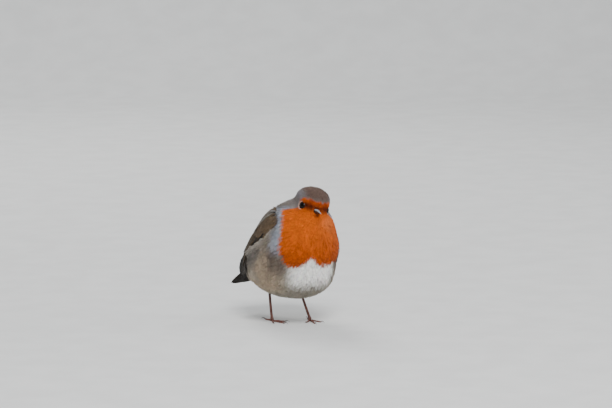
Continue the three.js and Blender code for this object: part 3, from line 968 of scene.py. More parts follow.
def laid(foot, at, out, way, length, lifted, colours, place):
    """Root points for feathers that spring from foot and lie with their tips over the plumage."""
    count = len(at)
    side = np.cross(way, out)
    yaw = np.radians(rng.normal(0, STRAY_YAW, count))[:, None]
    way = way * np.cos(yaw) + side * np.sin(yaw)
    proud = lifted + 0.10 + 0.30 * smooth(2, 7, length) * rng.uniform(0.1, 1.3, count)
    tips = over(at + way * length[:, None], proud, 4)
    reach = tips - foot
    roll = np.radians(rng.normal(0, STRAY_ROLL, count))[:, None]
    rolled = out * np.cos(roll) + np.cross(way, out) * np.sin(roll)
    full = np.linalg.norm(reach, axis=1)
    tint = colours(at + (tips - at) * 0.62, out)  # the colour of the part that shows
    tint *= rng.normal(1, 0.06, count)[:, None]
    tint *= 1 + rng.normal(0, 0.02, (count, 3))
    width = full * (0.42 + 0.12 * (1 - smooth(2, 6, full)))
    return {
        "at": foot,
        "outer": at,
        "out": out,
        "lie": quaternions(reach, rolled),
        "size": np.c_[width, full, full * 0.16],
        "tint": np.clip(tint, 0, 1),
        "place": place,
    }


def place_on_skin(points):
    """Where the nearest parts of the skin lie on its own map."""
    tree = KDTree(len(flat_grid))
    for index, spot in enumerate(flat_grid):
        tree.insert(spot, index)
    tree.balance()
    nearest = np.array([tree.find(spot)[1] for spot in points])
    return np.c_[(nearest % ROUND) / ROUND, skin_row(nearest // ROUND)]


def spread_over_map(place):
    """Shifts and stretches the places of one tract's roots until they fill the map."""
    u = np.sort(place[:, 0])
    gaps = np.diff(np.r_[u, u[0] + 1])
    widest = np.argmax(gaps)
    start = u[(widest + 1) % len(u)]
    moved = np.c_[np.mod(place[:, 0] - start, 1), place[:, 1]]
    moved -= moved.min(0)
    return inset(moved / moved.max(0))


def wing_roots(side, s_span, t_span, gap, length, height, colours, drift=0.0):
    """Soft feathers over part of a wing. height is their tips' height over it at either end of t_span."""
    s, t = np.meshgrid(np.linspace(*s_span, 160), np.linspace(*t_span, 60), indexing="ij")
    s = (s + rng.normal(0, 0.004, s.shape)).ravel()
    t = (t + rng.normal(0, 0.02, t.shape)).ravel()
    order = rng.permutation(len(s))
    s, t = s[order], t[order]
    share = (t - t_span[0]) / (t_span[1] - t_span[0])
    rise = height[0] + (height[1] - height[0]) * np.clip(share, 0, 1)
    at, _ = wing_surface(s, t, rise)
    ahead, _ = wing_surface(s + 0.02, t + 0.02 * drift, rise)
    keep = thinned(at, np.full(len(at), gap))
    flip = v(SIDES[side], 1, 1)
    at, ahead, rise = at[keep] * flip, ahead[keep] * flip, rise[keep]
    out = unit(slope(at))
    way = flattened(ahead - at, out)
    reach = length * rng.uniform(0.85, 1.15, len(at))
    return laid(at - out * 0.9, at, out, way, reach, rise, colours, place_on_skin(at))


def tracts(roots):
    """The name of the plumage tract that each root belongs to."""
    at, out = roots["outer"], roots["out"]
    x, y, z = at.T
    bearing, _ = bearing_of(at)
    ahead = np.abs(bearing - FRONT_MIDDLE) < FRONT_HALF
    dorsal = (out @ BACK_WAY > 0.2) & (y > -16)
    side = np.where(x > 0, "left", "right")
    name = np.where(ahead, "breast_", "flank_").astype(object) + side
    name[(z < 50) & ahead] = "belly"
    name[dorsal & (z > 66)] = "mantle"
    name[dorsal & (z <= 66)] = "rump"
    name[(y > 24) & ~dorsal] = "vent"
    head = headness(at) > 0.5
    high = in_head(at)[:, 2]
    name[head] = np.where(high[head] > -1, "crown", "throat")
    name[head & (bill_distance(at) < 12)] = "face"
    return name.astype(str)


# ---- Flight feathers: closed vanes with a shaft, for the wings and the tail ----

WING_BROWN = linear("5c4935")
WING_DARK = linear("110d0a")
WING_EDGE = linear("6a573e")
TAIL_DARK = linear("241c15")
TAIL_EDGE = linear("4a3b29")
WING_ROWS, WING_COLUMNS = 16, 7  # points along and across a vane
TAIL_ROWS, TAIL_COLUMNS = 22, 9
# a cell of the vanes' map holds the upper face, the under face and a strip for the rim, side by side
UPPER_CORNER, UNDER_CORNER, FACE_SIZE = v(0.04, 0.04), v(0.50, 0.04), v(0.42, 0.92)
RIM_STRIP = 0.94, 0.97


class Plume:
    """Gathers vanes into one mesh. Each vane takes a cell of the map called OFBake."""

    def __init__(self, cells):
        self.points, self.faces, self.vane, self.bake, self.tint = [], [], [], [], []
        self.cells = cells
        self.used = 0
        self.total = 0

    def add(self, top, out, tint, thickness=0.14):
        """top is an array of rows of points from a vane's root to its tip, and out the way outwards there."""
        rows, columns, _ = top.shape
        edge = 1 - np.abs(np.linspace(-1, 1, columns)) ** 6
        under = top - out * (thickness * (0.25 + 0.75 * edge))[None, :, None]
        layer = rows * columns
        self.points += [top.reshape(-1, 3), under.reshape(-1, 3)]
        # painted shade: the under face of each vane is 0.8 as light as its upper face
        self.tint += [tint.reshape(-1, 3), tint.reshape(-1, 3) * 0.8]
        cell = v(self.used % self.cells, self.used // self.cells)
        spread = np.stack(np.meshgrid(np.linspace(0, 1, columns), np.linspace(0, 1, rows)), axis=2)
        spread = spread.reshape(-1, 2)
        upper_map = cell + UPPER_CORNER + spread * FACE_SIZE
        under_map = cell + UNDER_CORNER + spread * FACE_SIZE
        for r in range(rows - 1):
            for c in range(columns - 1):
                a = r * columns + c
                quad = [a, a + 1, a + columns + 1, a + columns]
                self.face(quad, spread[quad], upper_map[quad])
                quad = quad[::-1]
                self.face([layer + i for i in quad], spread[quad], under_map[quad])
        rim = list(range(columns))
        rim += [r * columns + columns - 1 for r in range(1, rows)]
        rim += [(rows - 1) * columns + c for c in range(columns - 2, -1, -1)]
        rim += [r * columns for r in range(rows - 2, 0, -1)]
        for i, (a, b) in enumerate(zip(rim, rim[1:] + rim[:1])):
            low, high = 0.04 + 0.92 * i / len(rim), 0.04 + 0.92 * (i + 1) / len(rim)
            strip = np.roll(patch(RIM_STRIP, (low, high)), 1, axis=0)
            self.face([b, a, a + layer, b + layer], spread[[b, a, a, b]], cell + strip)
        self.used += 1
        self.total += 2 * layer

    def face(self, corners, vane, bake):
        self.faces.append(tuple(self.total + i for i in corners))
        self.vane.append(vane)
        self.bake.append(bake / self.cells)

    def piece(self, name, mirrored=False):
        points, faces = np.vstack(self.points), self.faces
        vane, bake = self.vane, self.bake
        if mirrored:
            points = points * v(-1, 1, 1)
            faces = [face[::-1] for face in faces]
            vane, bake = ([spots[::-1] for spots in corners] for corners in (vane, bake))
        maps = {"vane": np.vstack(vane), "OFBake": np.vstack(bake)}
        return make_piece(name, points, faces, maps, np.vstack(self.tint))


def vane_width(f, blunt=1.0):
    """Share of a vane's full width at a share f of its length."""
    return np.clip(f / 0.12, 0.25, 1) ** 0.6 * np.maximum(1 - f ** (7 * blunt), 0) ** 0.5 + 0.02


def vane_tint(colours, rows, columns, leading):
    """A vane's own colour, with another along the edge on the leading side and another at its end."""
    base, edge, tip = colours
    x = np.linspace(-1, 1, columns)[None, :]
    f = np.linspace(0, 1, rows)[:, None]
    made = blend(base * (0.82 + 0.18 * (1 - f))[..., None], edge, 0.75 * smooth(0.45, 1.0, x * leading))
    return blend(made, tip, 0.6 * smooth(0.8, 1.0, f))


def wing_vane(plume, s_span, t_span, height, widths, colours, blunt):
    """A vane over the wing, from (s, t) at its root to its tip. widths are to its lower and upper side."""
    end_s, end_t = s_span[1] + rng.normal(0, 0.007), t_span[1] + rng.normal(0, 0.02)
    height = height + rng.uniform(-0.03, 0.03)
    f = np.linspace(0, 1, WING_ROWS)
    x = np.linspace(-1, 1, WING_COLUMNS)
    s = s_span[0] + (end_s - s_span[0]) * f
    t = t_span[0] + (end_t - t_span[0]) * f
    reach = np.where(x < 0, widths[0], widths[1]) * x
    t_grid = t[:, None] + reach * vane_width(f, blunt)[:, None] / wing_breadth(s)[:, None]
    # the tip is rounded, so its edges end before its shaft does
    s_grid = s[:, None] - 0.012 * (x**2) * smooth(0.7, 1, f)[:, None]
    heights = np.broadcast_to(height + 0.10 * (1 - x**2), t_grid.shape)
    top, out = wing_surface(s_grid.ravel(), t_grid.ravel(), heights.ravel())
    shape = (WING_ROWS, WING_COLUMNS, 3)
    tint = vane_tint(colours, WING_ROWS, WING_COLUMNS, -1) * rng.normal(1, 0.03)
    plume.add(top.reshape(shape), out.reshape(shape), tint)


def wing_pad(plume):
    """The wing's own flesh and down, a thin closed pad below its feathers."""
    rows, columns = 22, 13
    s, t = np.meshgrid(np.linspace(0, 0.62, rows), np.linspace(-0.9, 0.96, columns), indexing="ij")
    rim = np.sqrt(1 - np.abs(t) ** 6) * np.clip(s / 0.08, 0.2, 1) * np.clip((0.65 - s) / 0.2, 0.15, 1)
    top, out = wing_surface(s.ravel(), t.ravel(), (0.85 * rim).ravel())
    shape = (rows, columns, 3)
    plume.add(top.reshape(shape), out.reshape(shape), np.broadcast_to(WING_BROWN * 0.6, shape), 1.3)


# base, edge and tip colours
PRIMARY = WING_DARK, WING_EDGE * 0.35, WING_DARK * 0.7
SECONDARY = blend(WING_DARK, WING_BROWN, 0.15), WING_EDGE, WING_DARK
TERTIAL = blend(WING_DARK, WING_BROWN, 0.3), WING_EDGE, WING_DARK
STIFF_COVERT = WING_DARK * 1.15, WING_EDGE, WING_DARK
COVERT = WING_BROWN * 0.92, WING_EDGE, WING_EDGE
MEDIAN = WING_BROWN, WING_EDGE, WING_EDGE
PRIMARY_TIPS = 0.975, 0.99, 1.0, 1.0, 0.99, 0.965, 0.93, 0.895, 0.86
# For each kind, how many, then s at the root and the tip, t at the root and the tip, and the height, each as
# (first feather, step to the next), then the widths, the colours and how blunt the tip is.
WING_ORDER = [
    (6, (0.28, 0), (0.82, -0.03), (-0.35, 0.12), (-0.62, 0.19), (1.25, 0.08), (2.4, 3.0), SECONDARY, 1.0),
    (3, (0.26, 0), (0.70, -0.065), (0.42, 0.12), (0.50, 0.14), (1.72, 0.10), (3.4, 3.0), TERTIAL, 0.8),
    # the coverts of the primaries, then the three feathers of the thumb
    (6, (0.12, 0), (0.44, -0.02), (-0.74, 0.05), (-0.92, 0.08), (1.30, 0.06), (1.5, 1.9), STIFF_COVERT, 1.0),
    (3, (0.06, 0), (0.30, -0.045), (-0.76, 0.08), (-0.94, 0.1), (1.75, 0.08), (1.5, 1.9), STIFF_COVERT, 1.0),
    (11, (0.08, 0.01), (0.33, 0.013), (-0.52, 0.12), (-0.58, 0.14), (1.78, 0.04), (2.5, 2.7), COVERT, 0.8),
    (10, (0.04, 0.008), (0.215, 0.011), (-0.58, 0.13), (-0.64, 0.15), (2.1, 0.02), (2.5, 2.7), MEDIAN, 0.5),
]


def folded_wing():
    plume = Plume(7)
    wing_pad(plume)
    for i, tip in enumerate(PRIMARY_TIPS):  # the outermost lies lowest
        widths = (3.4 if i < 3 else 1.8, 2.5)
        t_span = (-0.62 + 0.03 * i, -1.45 + 0.21 * i)
        wing_vane(plume, (0.30, tip), t_span, 0.45 + 0.09 * i, widths, PRIMARY, 1.8)
    for count, *places, widths, colours, blunt in WING_ORDER:
        for i in range(count):
            s_root, s_tip, t_root, t_tip, height = (first + step * i for first, step in places)
            wing_vane(plume, (s_root, s_tip), (t_root, t_tip), height, widths, colours, blunt)
    return plume


def fanned_tail():
    """Twelve tail feathers, the middle pair uppermost, closed to a narrow fan with a shallow notch."""
    plume = Plume(4)
    drop, lowered = math.radians(TAIL_SLOPE), math.radians(TAIL_SLOPE + 2.5)
    along, up = v(0, math.cos(lowered), -math.sin(lowered)), v(0, math.sin(lowered), math.cos(lowered))
    root_at = TAIL_TIP - TAIL_LENGTH * v(0, math.cos(drop), -math.sin(drop))
    f, x = 1 - (1 - np.linspace(0, 1, TAIL_ROWS)) ** 1.7, np.linspace(-1, 1, TAIL_COLUMNS)
    outermost = 5
    for pair in range(outermost, -1, -1):
        for side in (-1, 1):
            place = side * (pair + 0.5)
            length = 46.8 + 0.4 * (1 - ((pair - 3) / 3.0) ** 2) - 0.6 * (pair == outermost)
            root, tip = v(place * 1.1, 0, 0), v(place * 2.05, 0, 0)
            lift = 0.3 - 0.1 * pair - 0.03 * (side > 0)
            blunt = 8 if pair == outermost else 28
            profile = np.clip(f / 0.1, 0.3, 1) ** 0.7 * np.maximum(1 - f**blunt, 0) ** 0.5 + 0.02
            reach = np.where(x * side > 0, 2.1, 3.7) * x  # narrower on its outer side
            centre = root_at + along * (length * f)[:, None] + root + (tip - root) * f[:, None]
            top = centre[:, None] + v(1, 0, 0) * (reach[None, :] * profile[:, None])[..., None]
            dished = lift + 0.010 * top[..., 0] ** 2 * smooth(0.1, 0.9, f)[:, None] - 0.10 * x[None, :] ** 2
            rounded = -0.6 * (x**2)[None, :] * smooth(0.75, 1, f)[:, None]
            top = top + up * dished[..., None] + along * rounded[..., None]
            colours = TAIL_DARK, TAIL_EDGE, TAIL_DARK * 1.2
            tint = vane_tint(colours, TAIL_ROWS, TAIL_COLUMNS, side) * rng.normal(1, 0.03)
            plume.add(top, np.broadcast_to(up, top.shape), tint)
    return plume


# ---- Shanks, toes and claws ----

# where the foot stands, the hock, and the middle toe's heading in degrees from straight ahead
LEGS = {
    "left": (v(12, -9, 0), v(7.4, -0.5, 28), -28),
    "right": (v(-12.5, 10.5, 0), v(-12.3, 14.5, 31), -3),
}
# name, spread from the heading, length, claw, girth, pads
TOES = [
    ("hind", 180, 8.4, 6.4, 1.08, 2),
    ("inner", 30, 11.2, 4.3, 0.95, 2),
    ("middle", 0, 16.0, 4.9, 1.0, 3),
    ("outer", -32, 12.0, 4.1, 0.92, 4),
]
TOE_RADIUS, TOE_HEIGHT = 0.78, 0.6
SHANK_RADIUS = 1.05
CLAW_RADIUS = 0.60  # at its root, for a girth of 1
SCUTES = 9.0  # rings of scales down the shank
SCUTE_LENGTH = 1.15  # on the toes


def tube(line, radii, around, swell, floor=0.0):
    """A closed tube as points, faces and map corners, pressed flat where it would reach below a floor.

    radii are (sideways, upwards) at each point of the line. swell gives how much each ring grows, from how
    far up each of its points faces.
    """
    ways = unit(np.gradient(line, axis=0))
    side = unit(np.cross(ways, v(0, 0, 1) if abs(ways[0][2]) < 0.8 else v(0, -1, 0)))
    up = np.cross(side, ways)
    turns = 2 * np.pi * (np.arange(around) + 0.5) / around
    sideways = side[:, None] * (np.cos(turns)[None, :] * radii[:, :1])[..., None]
    upwards = up[:, None] * (np.sin(turns)[None, :] * radii[:, 1:])[..., None]
    rings = line[:, None] + sideways + upwards
    middle = rings.mean(1, keepdims=True)
    rings = middle + (rings - middle) * swell(np.sin(turns))[..., None]
    rings[..., 2] = np.maximum(rings[..., 2], floor)
    rows = np.r_[0, np.linspace(0, 1, len(line)), 1]
    return closed_rings(rings, [rings[0].mean(0), rings[-1].mean(0)], rows, turned=True)


def joined(parts):
    """Several (points, faces, corners) made one."""
    points, faces, corners, start = [], [], [], 0
    for part_points, part_faces, part_corners in parts:
        points.append(part_points)
        faces += [tuple(i + start for i in face) for face in part_faces]
        corners += part_corners
        start += len(part_points)
    return np.vstack(points), faces, corners


def toe_points(side, spread, distance, height):
    """Points along a toe's own heading, from their distances ahead of the foot and heights over the floor."""
    foot, _, heading = LEGS[side]
    angle = math.radians(heading - SIDES[side] * spread)
    ahead = v(math.sin(angle), -math.cos(angle), 0)
    return foot + ahead * distance[:, None] + v(0, 0, 1) * height[:, None]


def shank(side):
    foot, hock, _ = LEGS[side]
    s = np.linspace(0, 1, 90)
    line = hock + (foot + v(0, 0, TOE_HEIGHT + 0.5) - hock) * s[:, None]
    line += v(0, 0.35, 0) * np.sin(np.pi * s)[:, None]
    knuckle = 0.38 * np.exp(-(((s - 1) / 0.07) ** 2)) + 0.45 * np.exp(-(((s - 0.02) / 0.07) ** 2))
    ring = 0.045 * (1 - smooth(0.86, 0.95, s)) * (np.mod(s * SCUTES, 1) ** 3)  # the lower rim of each scute
    radius = SHANK_RADIUS * (1 + knuckle)
    radii = np.stack([radius * 0.92, radius * 1.12], axis=1)
    return tube(line, radii, 26, lambda facing: 1 + ring[:, None] * (0.25 + np.clip(facing, 0, 1)), 0.02)


def toe(side, spread, length, girth, pads):
    s = np.linspace(0, 1, 56)
    distance = -0.6 + (length + 0.6) * s
    pad = np.cos(2 * np.pi * pads * s)
    height = TOE_HEIGHT * (1 - 0.25 * s) + 0.10 * pad * (1 - s)
    radius = TOE_RADIUS * girth * (1 - 0.20 * s) * (1 + 0.08 * pad)
    radius = radius * np.where(s > 0.93, np.sqrt(np.maximum(1 - ((s - 0.93) / 0.08) ** 2, 0.15)), 1)
    scute = 0.06 * np.mod(distance / SCUTE_LENGTH, 1) ** 3
    line = toe_points(side, spread, distance, height)
    radii = np.stack([radius * 0.96, radius], axis=1)
    return tube(line, radii, 20, lambda facing: 1 + scute[:, None] * np.clip(facing, 0, 1))


def claw(side, spread, length, reach, girth):
    """A curved claw that springs from a toe's end and rests its point near the floor."""
    count = 26
    distance = length + v(-0.7, 0.3, 0.3 + 0.35 * reach, 0.3 + 0.75 * reach, 0.28 + reach)
    height = v(TOE_HEIGHT * 0.8, TOE_HEIGHT, TOE_HEIGHT + 0.62, TOE_HEIGHT + 0.30, 0.12)
    line, _ = smooth_path(toe_points(side, spread, distance, height), count)
    radius = CLAW_RADIUS * girth * np.maximum(1 - np.linspace(0, 1, count), 0.03) ** 0.8
    radii = np.stack([0.72 * radius, radius], axis=1)
    return tube(line, radii, 14, lambda facing: 1 - 0.35 * np.clip(-facing, 0, 1)[None])


def feet():
    skin, horn = leg_finish(), nail_finish()
    for side in SIDES:
        toes = [toe(side, spread, length, girth, pads) for _, spread, length, _, girth, pads in TOES]
        points, faces, corners = joined([shank(side), *toes])
        nodes = [f"leg_{side}"] + [f"toe_{name}_{side}" for name, *_ in TOES]
        finished(make_piece(f"foot_{side}", points, faces, {"scutes": corners}), skin, "leg", *nodes)
        for name, spread, length, reach, girth, _ in TOES:
            points, faces, corners = claw(side, spread, length, reach, girth)
            piece = make_piece(f"nail_{name}_{side}", points, faces, {"along": corners})
            finished(piece, horn, "claw", f"claw_{name}_{side}")


# ---- Eyes and their lids ----


def eyeball(side):
    """A ball whose first pole looks outwards. Its map holds the angle round the pupil and the way from it."""
    look = EYE_LOOKS[side]
    across = unit(np.cross(look, v(0, 0, 1)))
    up = np.cross(across, look)
    steps, around = 40, 56
    angle = (np.pi * np.arange(1, steps) / steps)[:, None, None]
    turns = (2 * np.pi * np.arange(around) / around)[:, None]
    bulge = EYE_RADIUS * (1 + 0.02 * np.exp(-((angle / 0.55) ** 4)))  # the clear front stands a little proud
    ways = look * np.cos(angle) + (across * np.cos(turns) + up * np.sin(turns)) * np.sin(angle)
    poles = [EYES[side] + look * EYE_RADIUS, EYES[side] - look * EYE_RADIUS]
    return closed_rings(EYES[side] + ways * bulge, poles, np.arange(steps + 1) / steps)


def eye_lids(side):
    """The bare rim round an eye: a soft ring on the eyeball, slightly drawn out to the front and back."""
    look = EYE_LOOKS[side]
    forward = flattened(HEAD_TURN @ v(0, -1, -0.12), look)
    up = np.cross(look, forward) * -SIDES[side]
    count, around = 72, 12
    turns = 2 * np.pi * np.arange(count) / count
    opening = EYE_OPENING * (1 + 0.03 * np.abs(np.cos(turns)) ** 3)
    sink = np.sqrt(EYE_RADIUS**2 - opening**2)
    way = forward * np.cos(turns)[:, None] + up * np.sin(turns)[:, None]
    reach = way * opening[:, None] + look * sink[:, None]
    outward = unit(reach)
    across = flattened(way, outward)
    thickness = LID_THICKNESS + 0.03 * np.sin(9 * turns)
    section = 2 * np.pi * np.arange(around) / around
    beside = across[:, None] * (LID_WIDTH * (np.cos(section) + 0.55))[None, :, None]
    raised = outward[:, None] * (thickness[:, None] * (np.sin(section) + 0.25))[..., None]
    points = (EYES[side] + reach)[:, None] + beside + raised
    faces, corners = [], []
    for i in range(count):
        for k in range(around):
            after, next_k = (i + 1) % count * around, (k + 1) % around
            quad = (i * around + k, i * around + next_k, after + next_k, after + k)
            faces.append(quad[:: -SIDES[side]])
            corners += patch((k / around, (k + 1) / around), (i / count, (i + 1) / count))[:: -SIDES[side]]
    return points.reshape(-1, 3), faces, corners


# ---- Bill ----


def mandible(upper):
    """A half of the bill with a ridge, tapering to a point, closed along its flat gape."""
    length, width, depth, droop = (14.1, 6.0, 2.15, 0.1) if upper else (13.4, 5.3, 1.8, 0.0)
    away = 1 if upper else -1
    steps, arc = 44, 22
    rows = arc + 1
    s = (np.arange(steps + 1) / steps)[:, None]
    a = math.pi * np.arange(rows) / arc
    taper = (1 - 0.965 * s) ** 0.86
    broad = 1 + 0.34 * (1 - smooth(0.2, 0.75, s))
    hook = -0.30 * smooth(0.86, 1.0, s) * upper
    ridge = np.sin(a) ** (0.82 if upper else 0.95)
    pinch = 1 - 0.16 * np.sin(2 * a) ** 2 * smooth(0.15, 0.5, s)
    gape = BILL_ROOT[2] - GAPE_DROP - droop * s**2
    x = 0.5 * width * taper * broad * np.cos(a) * pinch
    y = np.broadcast_to(BILL_ROOT[1] + BILL_BURIED - length * s, x.shape)
    z = gape + away * (0.12 + depth * taper * ridge * (1 - 0.05 * s)) + hook * (0.4 + ridge)
    faces, corners = [], []
    for i in range(steps):
        w = i / steps, (i + 1) / steps
        for k in range(arc):
            first = i * rows + k
            faces.append((first, first + 1, first + 1 + rows, first + rows)[::-away])
            corners += patch((k / arc, (k + 1) / arc), w)[::-away]
        first, last = i * rows, i * rows + arc
        faces.append((first, first + rows, last + rows, last)[::-away])
        corners += [(0, w[0]), (0, w[1]), (1, w[1]), (1, w[0])][::-away]
    for i, order in ((0, away), (steps, -away)):
        faces.append(tuple(i * rows + k for k in range(rows))[::order])
        corners += [(k / arc, i / steps) for k in range(rows)][::order]
    return from_head(np.stack([x, y, z], axis=2).reshape(-1, 3)), faces, corners


# ---- Finishes ----


def plumage_finish():
    """Soft feathers: the tract's own tint, with painted shade darkening each feather towards its root, and
    fine barbs.
    """
    made = Finish("coat_feathers", Sheen_Weight=0.04, Sheen_Roughness=0.6, Specular_IOR_Level=0.1)
    vane = made.attribute("vane")
    # painted shade: each feather darkens towards its root
    shade = made.spread(made.split(vane)["Y"], 0.0, 0.55, 0.7, 1.0)
    made.tinted(made.times(shade, made.stretch(made.noise(420, 4, 0.6), 0.93, 1.07)))
    made.roughness(made.stretch(made.noise(900, 2), 0.68, 0.86))
    stripes = {"Vector": vane, "Scale": 9.0, "Distortion": 1.2}
    barbs = made.node("ShaderNodeTexWave", stripes, bands_direction="Y")
    made.bump(barbs.outputs["Fac"], 0.00004, 0.35)
    return made.material


def skin_finish():
    made = Finish("skin_and_down", Specular_IOR_Level=0.2)
    fuzz = made.noise(1500, 6, 0.7, squash=(1, 1, 0.35))
    pores = made.noise(380, 4, 0.6)
    made.tinted(made.times(made.spread(fuzz, 0.25, 0.75, 0.75, 1.15), made.stretch(pores, 0.9, 1.08)))
    made.roughness(made.stretch(pores, 0.75, 0.95))
    made.bump(fuzz, 0.0003, 0.8)
    return made.material


def vane_finish(name):
    """Stiff feathers: slanting barbs either side of a dark shaft."""
    made = Finish(name, Specular_IOR_Level=0.12)
    vane = made.split(made.attribute("vane"))
    off = made.math("ABSOLUTE", made.math("SUBTRACT", vane["X"], 0.5))
    slant = made.math("SUBTRACT", vane["Y"], made.times(off, 0.42))
    wobble = made.times(made.noise(700, 2), 0.02)
    barbs = made.math("SINE", made.times(made.math("ADD", slant, wobble), 560.0))
    tone = made.times(made.spread(barbs, -1, 1, 0.86, 1.08), made.stretch(made.noise(260, 4, 0.6), 0.88, 1.1))
    made.tinted(made.times(tone, made.spread(off, 0.012, 0.045, 0.45, 1.0)))
    made.roughness(made.stretch(made.noise(500, 3), 0.5, 0.68))
    shaft = made.spread(off, 0.0, 0.05, 1.0, 0.0)
    made.bump(made.math("ADD", made.times(barbs, 0.25), shaft), 0.00012, 0.6)
    return made.material


def horn_finish(name, ridge_highlight):
    """Dark horn with fine growth lines along it, glossy, with a pale blue painted highlight along the ridge.
    """
    made = Finish(name, Specular_IOR_Level=0.5, Coat_Weight=0.5, Coat_Roughness=0.22)
    around = made.split(made.attribute("horn_map"))["X"]
    off_ridge = made.math("ABSOLUTE", made.math("SUBTRACT", around, 0.5))
    grain = made.noise(900, 5, 0.6, squash=(1, 0.2, 1))
    colour = made.mix(made.stretch(grain, 0, 1), "1f1a18", "3a322e")
    colour = made.mix(made.spread(off_ridge, 0.40, 0.5, 0, 0.55), colour, "6b5a4c")
    # painted highlight: pale blue-grey along the ridge, full on the upper half and none on the lower
    made.colour(made.mix(made.spread(off_ridge, 0.14, 0.42, ridge_highlight, 0), colour, "b4c0cc"))
    made.roughness(made.stretch(grain, 0.28, 0.46))
    made.bump(grain, 0.00006, 0.5)
    return made.material


def nail_finish():
    """Claw horn, brown at its root and nearly black at its point."""
    made = Finish("claw_horn", Specular_IOR_Level=0.5, Coat_Weight=0.2, Coat_Roughness=0.3)
    along = made.split(made.attribute("along"))["Y"]
    grain = made.noise(1300, 4, 0.6)
    colour = made.mix(made.spread(along, 0.1, 0.8, 0, 1), "4a342d", "1c1412")
    made.colour(made.mix(made.spread(grain, 0.35, 0.7, 0, 0.35), colour, "6b4f44"))
    made.roughness(made.stretch(grain, 0.3, 0.5))
    made.bump(grain, 0.00004, 0.5)
    return made.material


def leg_finish():
    """Scaly reddish-brown skin with fine dark lines between the scales, darkened nearly to black up the shank
    as painted shadow under the belly.
    """
    made = Finish("leg_skin", Specular_IOR_Level=0.45, Coat_Weight=0.08, Coat_Roughness=0.4)
    scales = {"Vector": made.place, "Scale": 1150.0}
    edges = made.node("ShaderNodeTexVoronoi", scales, feature="DISTANCE_TO_EDGE").outputs["Distance"]
    line = made.spread(edges, 0.0, 0.07, 0, 1)
    patchy = made.noise(240, 4, 0.6)
    colour = made.mix(made.stretch(patchy, 0, 1), "5f352b", "8a5344")
    # painted shadow under the belly: from 8 to 26 mm up, the shank darkens nearly to black
    height = made.split(made.place)["Z"]
    colour = made.mix(made.spread(height, 0.008, 0.026, 0, 0.85), colour, "26181a")
    made.colour(made.mix(line, "45281f", colour))
    made.roughness(made.stretch(patchy, 0.42, 0.6))
    made.bump(line, 0.00006, 0.6)
    return made.material


def eye_finish():
    """A wet eye: black pupil, very dark brown iris with fine spokes, clear over both."""
    coat = {"Coat_Weight": 0.28, "Coat_Roughness": 0.03, "Coat_IOR": 1.38}
    made = Finish("wet_eye", Specular_IOR_Level=0.05, Roughness=0.2, **coat)
    polar = made.attribute("polar")
    away = made.split(polar)["Y"]
    spokes = made.noise(1.0, vector=polar, squash=(60, 6, 1))
    iris = made.mix(made.spread(spokes, 0.35, 0.65, 0, 1), "0c0705", "1c110b")
    iris = made.mix(made.spread(away, 0.20, 0.30, 0, 1), iris, "0d0806")
    made.colour(made.mix(made.spread(away, 0.125, 0.14, 0, 1), "020202", iris))
    return made.material


def lid_finish():
    made = Finish("bare_lid", Specular_IOR_Level=0.35)
    folds = made.noise(1800, 4, 0.6)
    made.colour(made.mix(made.stretch(folds, 0, 1), "17110f", "352a25"))
    made.roughness(made.stretch(folds, 0.45, 0.65))
    made.bump(folds, 0.00006, 0.6)
    return made.material


# ---- The bird ----


def scapular_tint_and_highlight(points, normals):
    """The mantle's colour, with a painted highlight of pale grey along the lower edge of the feathers that
    hang over the wing.
    """
    _, t, _ = wing_place(points)
    return blend(markings(points, normals), blend(NAPE, PALE_EDGE_AND_HIGHLIGHT, 0.5), 0.3 * (1 - smooth(0.27, 0.34, t)))


def shoulder_tint(points, normals):
    patchy = 1 + 0.16 * mottle(points * 1.6)
    return np.tile(blend(MANTLE, WING_BROWN, 0.85), (len(points), 1)) * patchy[:, None]


def flank_edge_tint(points, normals):
    """The flank's colour, whitish where its feathers lap over the wing's lower edge."""
    s, t, _ = wing_place(points)
    pale = smooth(-1.45, -1.0, t) * smooth(0.0, 0.12, s) * (0.7 + 0.3 * mottle(points * v(2.4, 1.6, 1.2)))
    return blend(markings(points, normals), PALE_EDGE_AND_HIGHLIGHT, 0.62 * pale)


# Soft feathers on the wing's shoulder, along its upper edge, and from the flank over its lower edge: the
# tract, its slot, and what wing_roots takes.
WING_TRACTS = [
    ("shoulder", "wing_feathers", (-0.01, 0.17), (-0.98, 0.75), 1.15, 4.8, (1.9, 2.2), shoulder_tint),
    ("scapulars", "belly_feathers", (-0.02, 0.30), (0.26, 1.35), 1.3, 7.0, (2.6, 0.4), scapular_tint_and_highlight, -1.0),
    ("over_wing", "belly_feathers", (0.05, 0.52), (-1.62, -1.1), 1.3, 6.4, (0.2, 1.7), flank_edge_tint, 1.2),
]


def build_coat():
    tree = coat_tree()
    body_feathers = feather_set("body_feather", 12, 0.95)
    face_feathers = feather_set("face_feather", 8, 0.85)
    soft = plumage_finish()
    roots = coat_roots()
    names = tracts(roots)
    pieces = []
    for name in sorted(set(names)):
        feathers, slot = body_feathers, "belly_feathers"
        if name.startswith("breast"):
            slot = "breast_feathers"
        if name in ("face", "crown", "throat"):
            feathers, slot = face_feathers, "face_feathers"
        tract = {key: value[names == name] for key, value in roots.items()}
        pieces.append(("coat_" + name, feathers, tract, slot))
    for side in SIDES:
        for name, slot, *how in WING_TRACTS:
            pieces.append((f"coat_{name}_{side}", body_feathers, wing_roots(side, *how), slot))
    for seed, (name, feathers, tract, slot) in enumerate(pieces):
        finished(stand_feathers(name, tree, feathers, tract, soft, seed), soft, slot)
    for feather in body_feathers + face_feathers:
        bpy.data.objects.remove(feather)


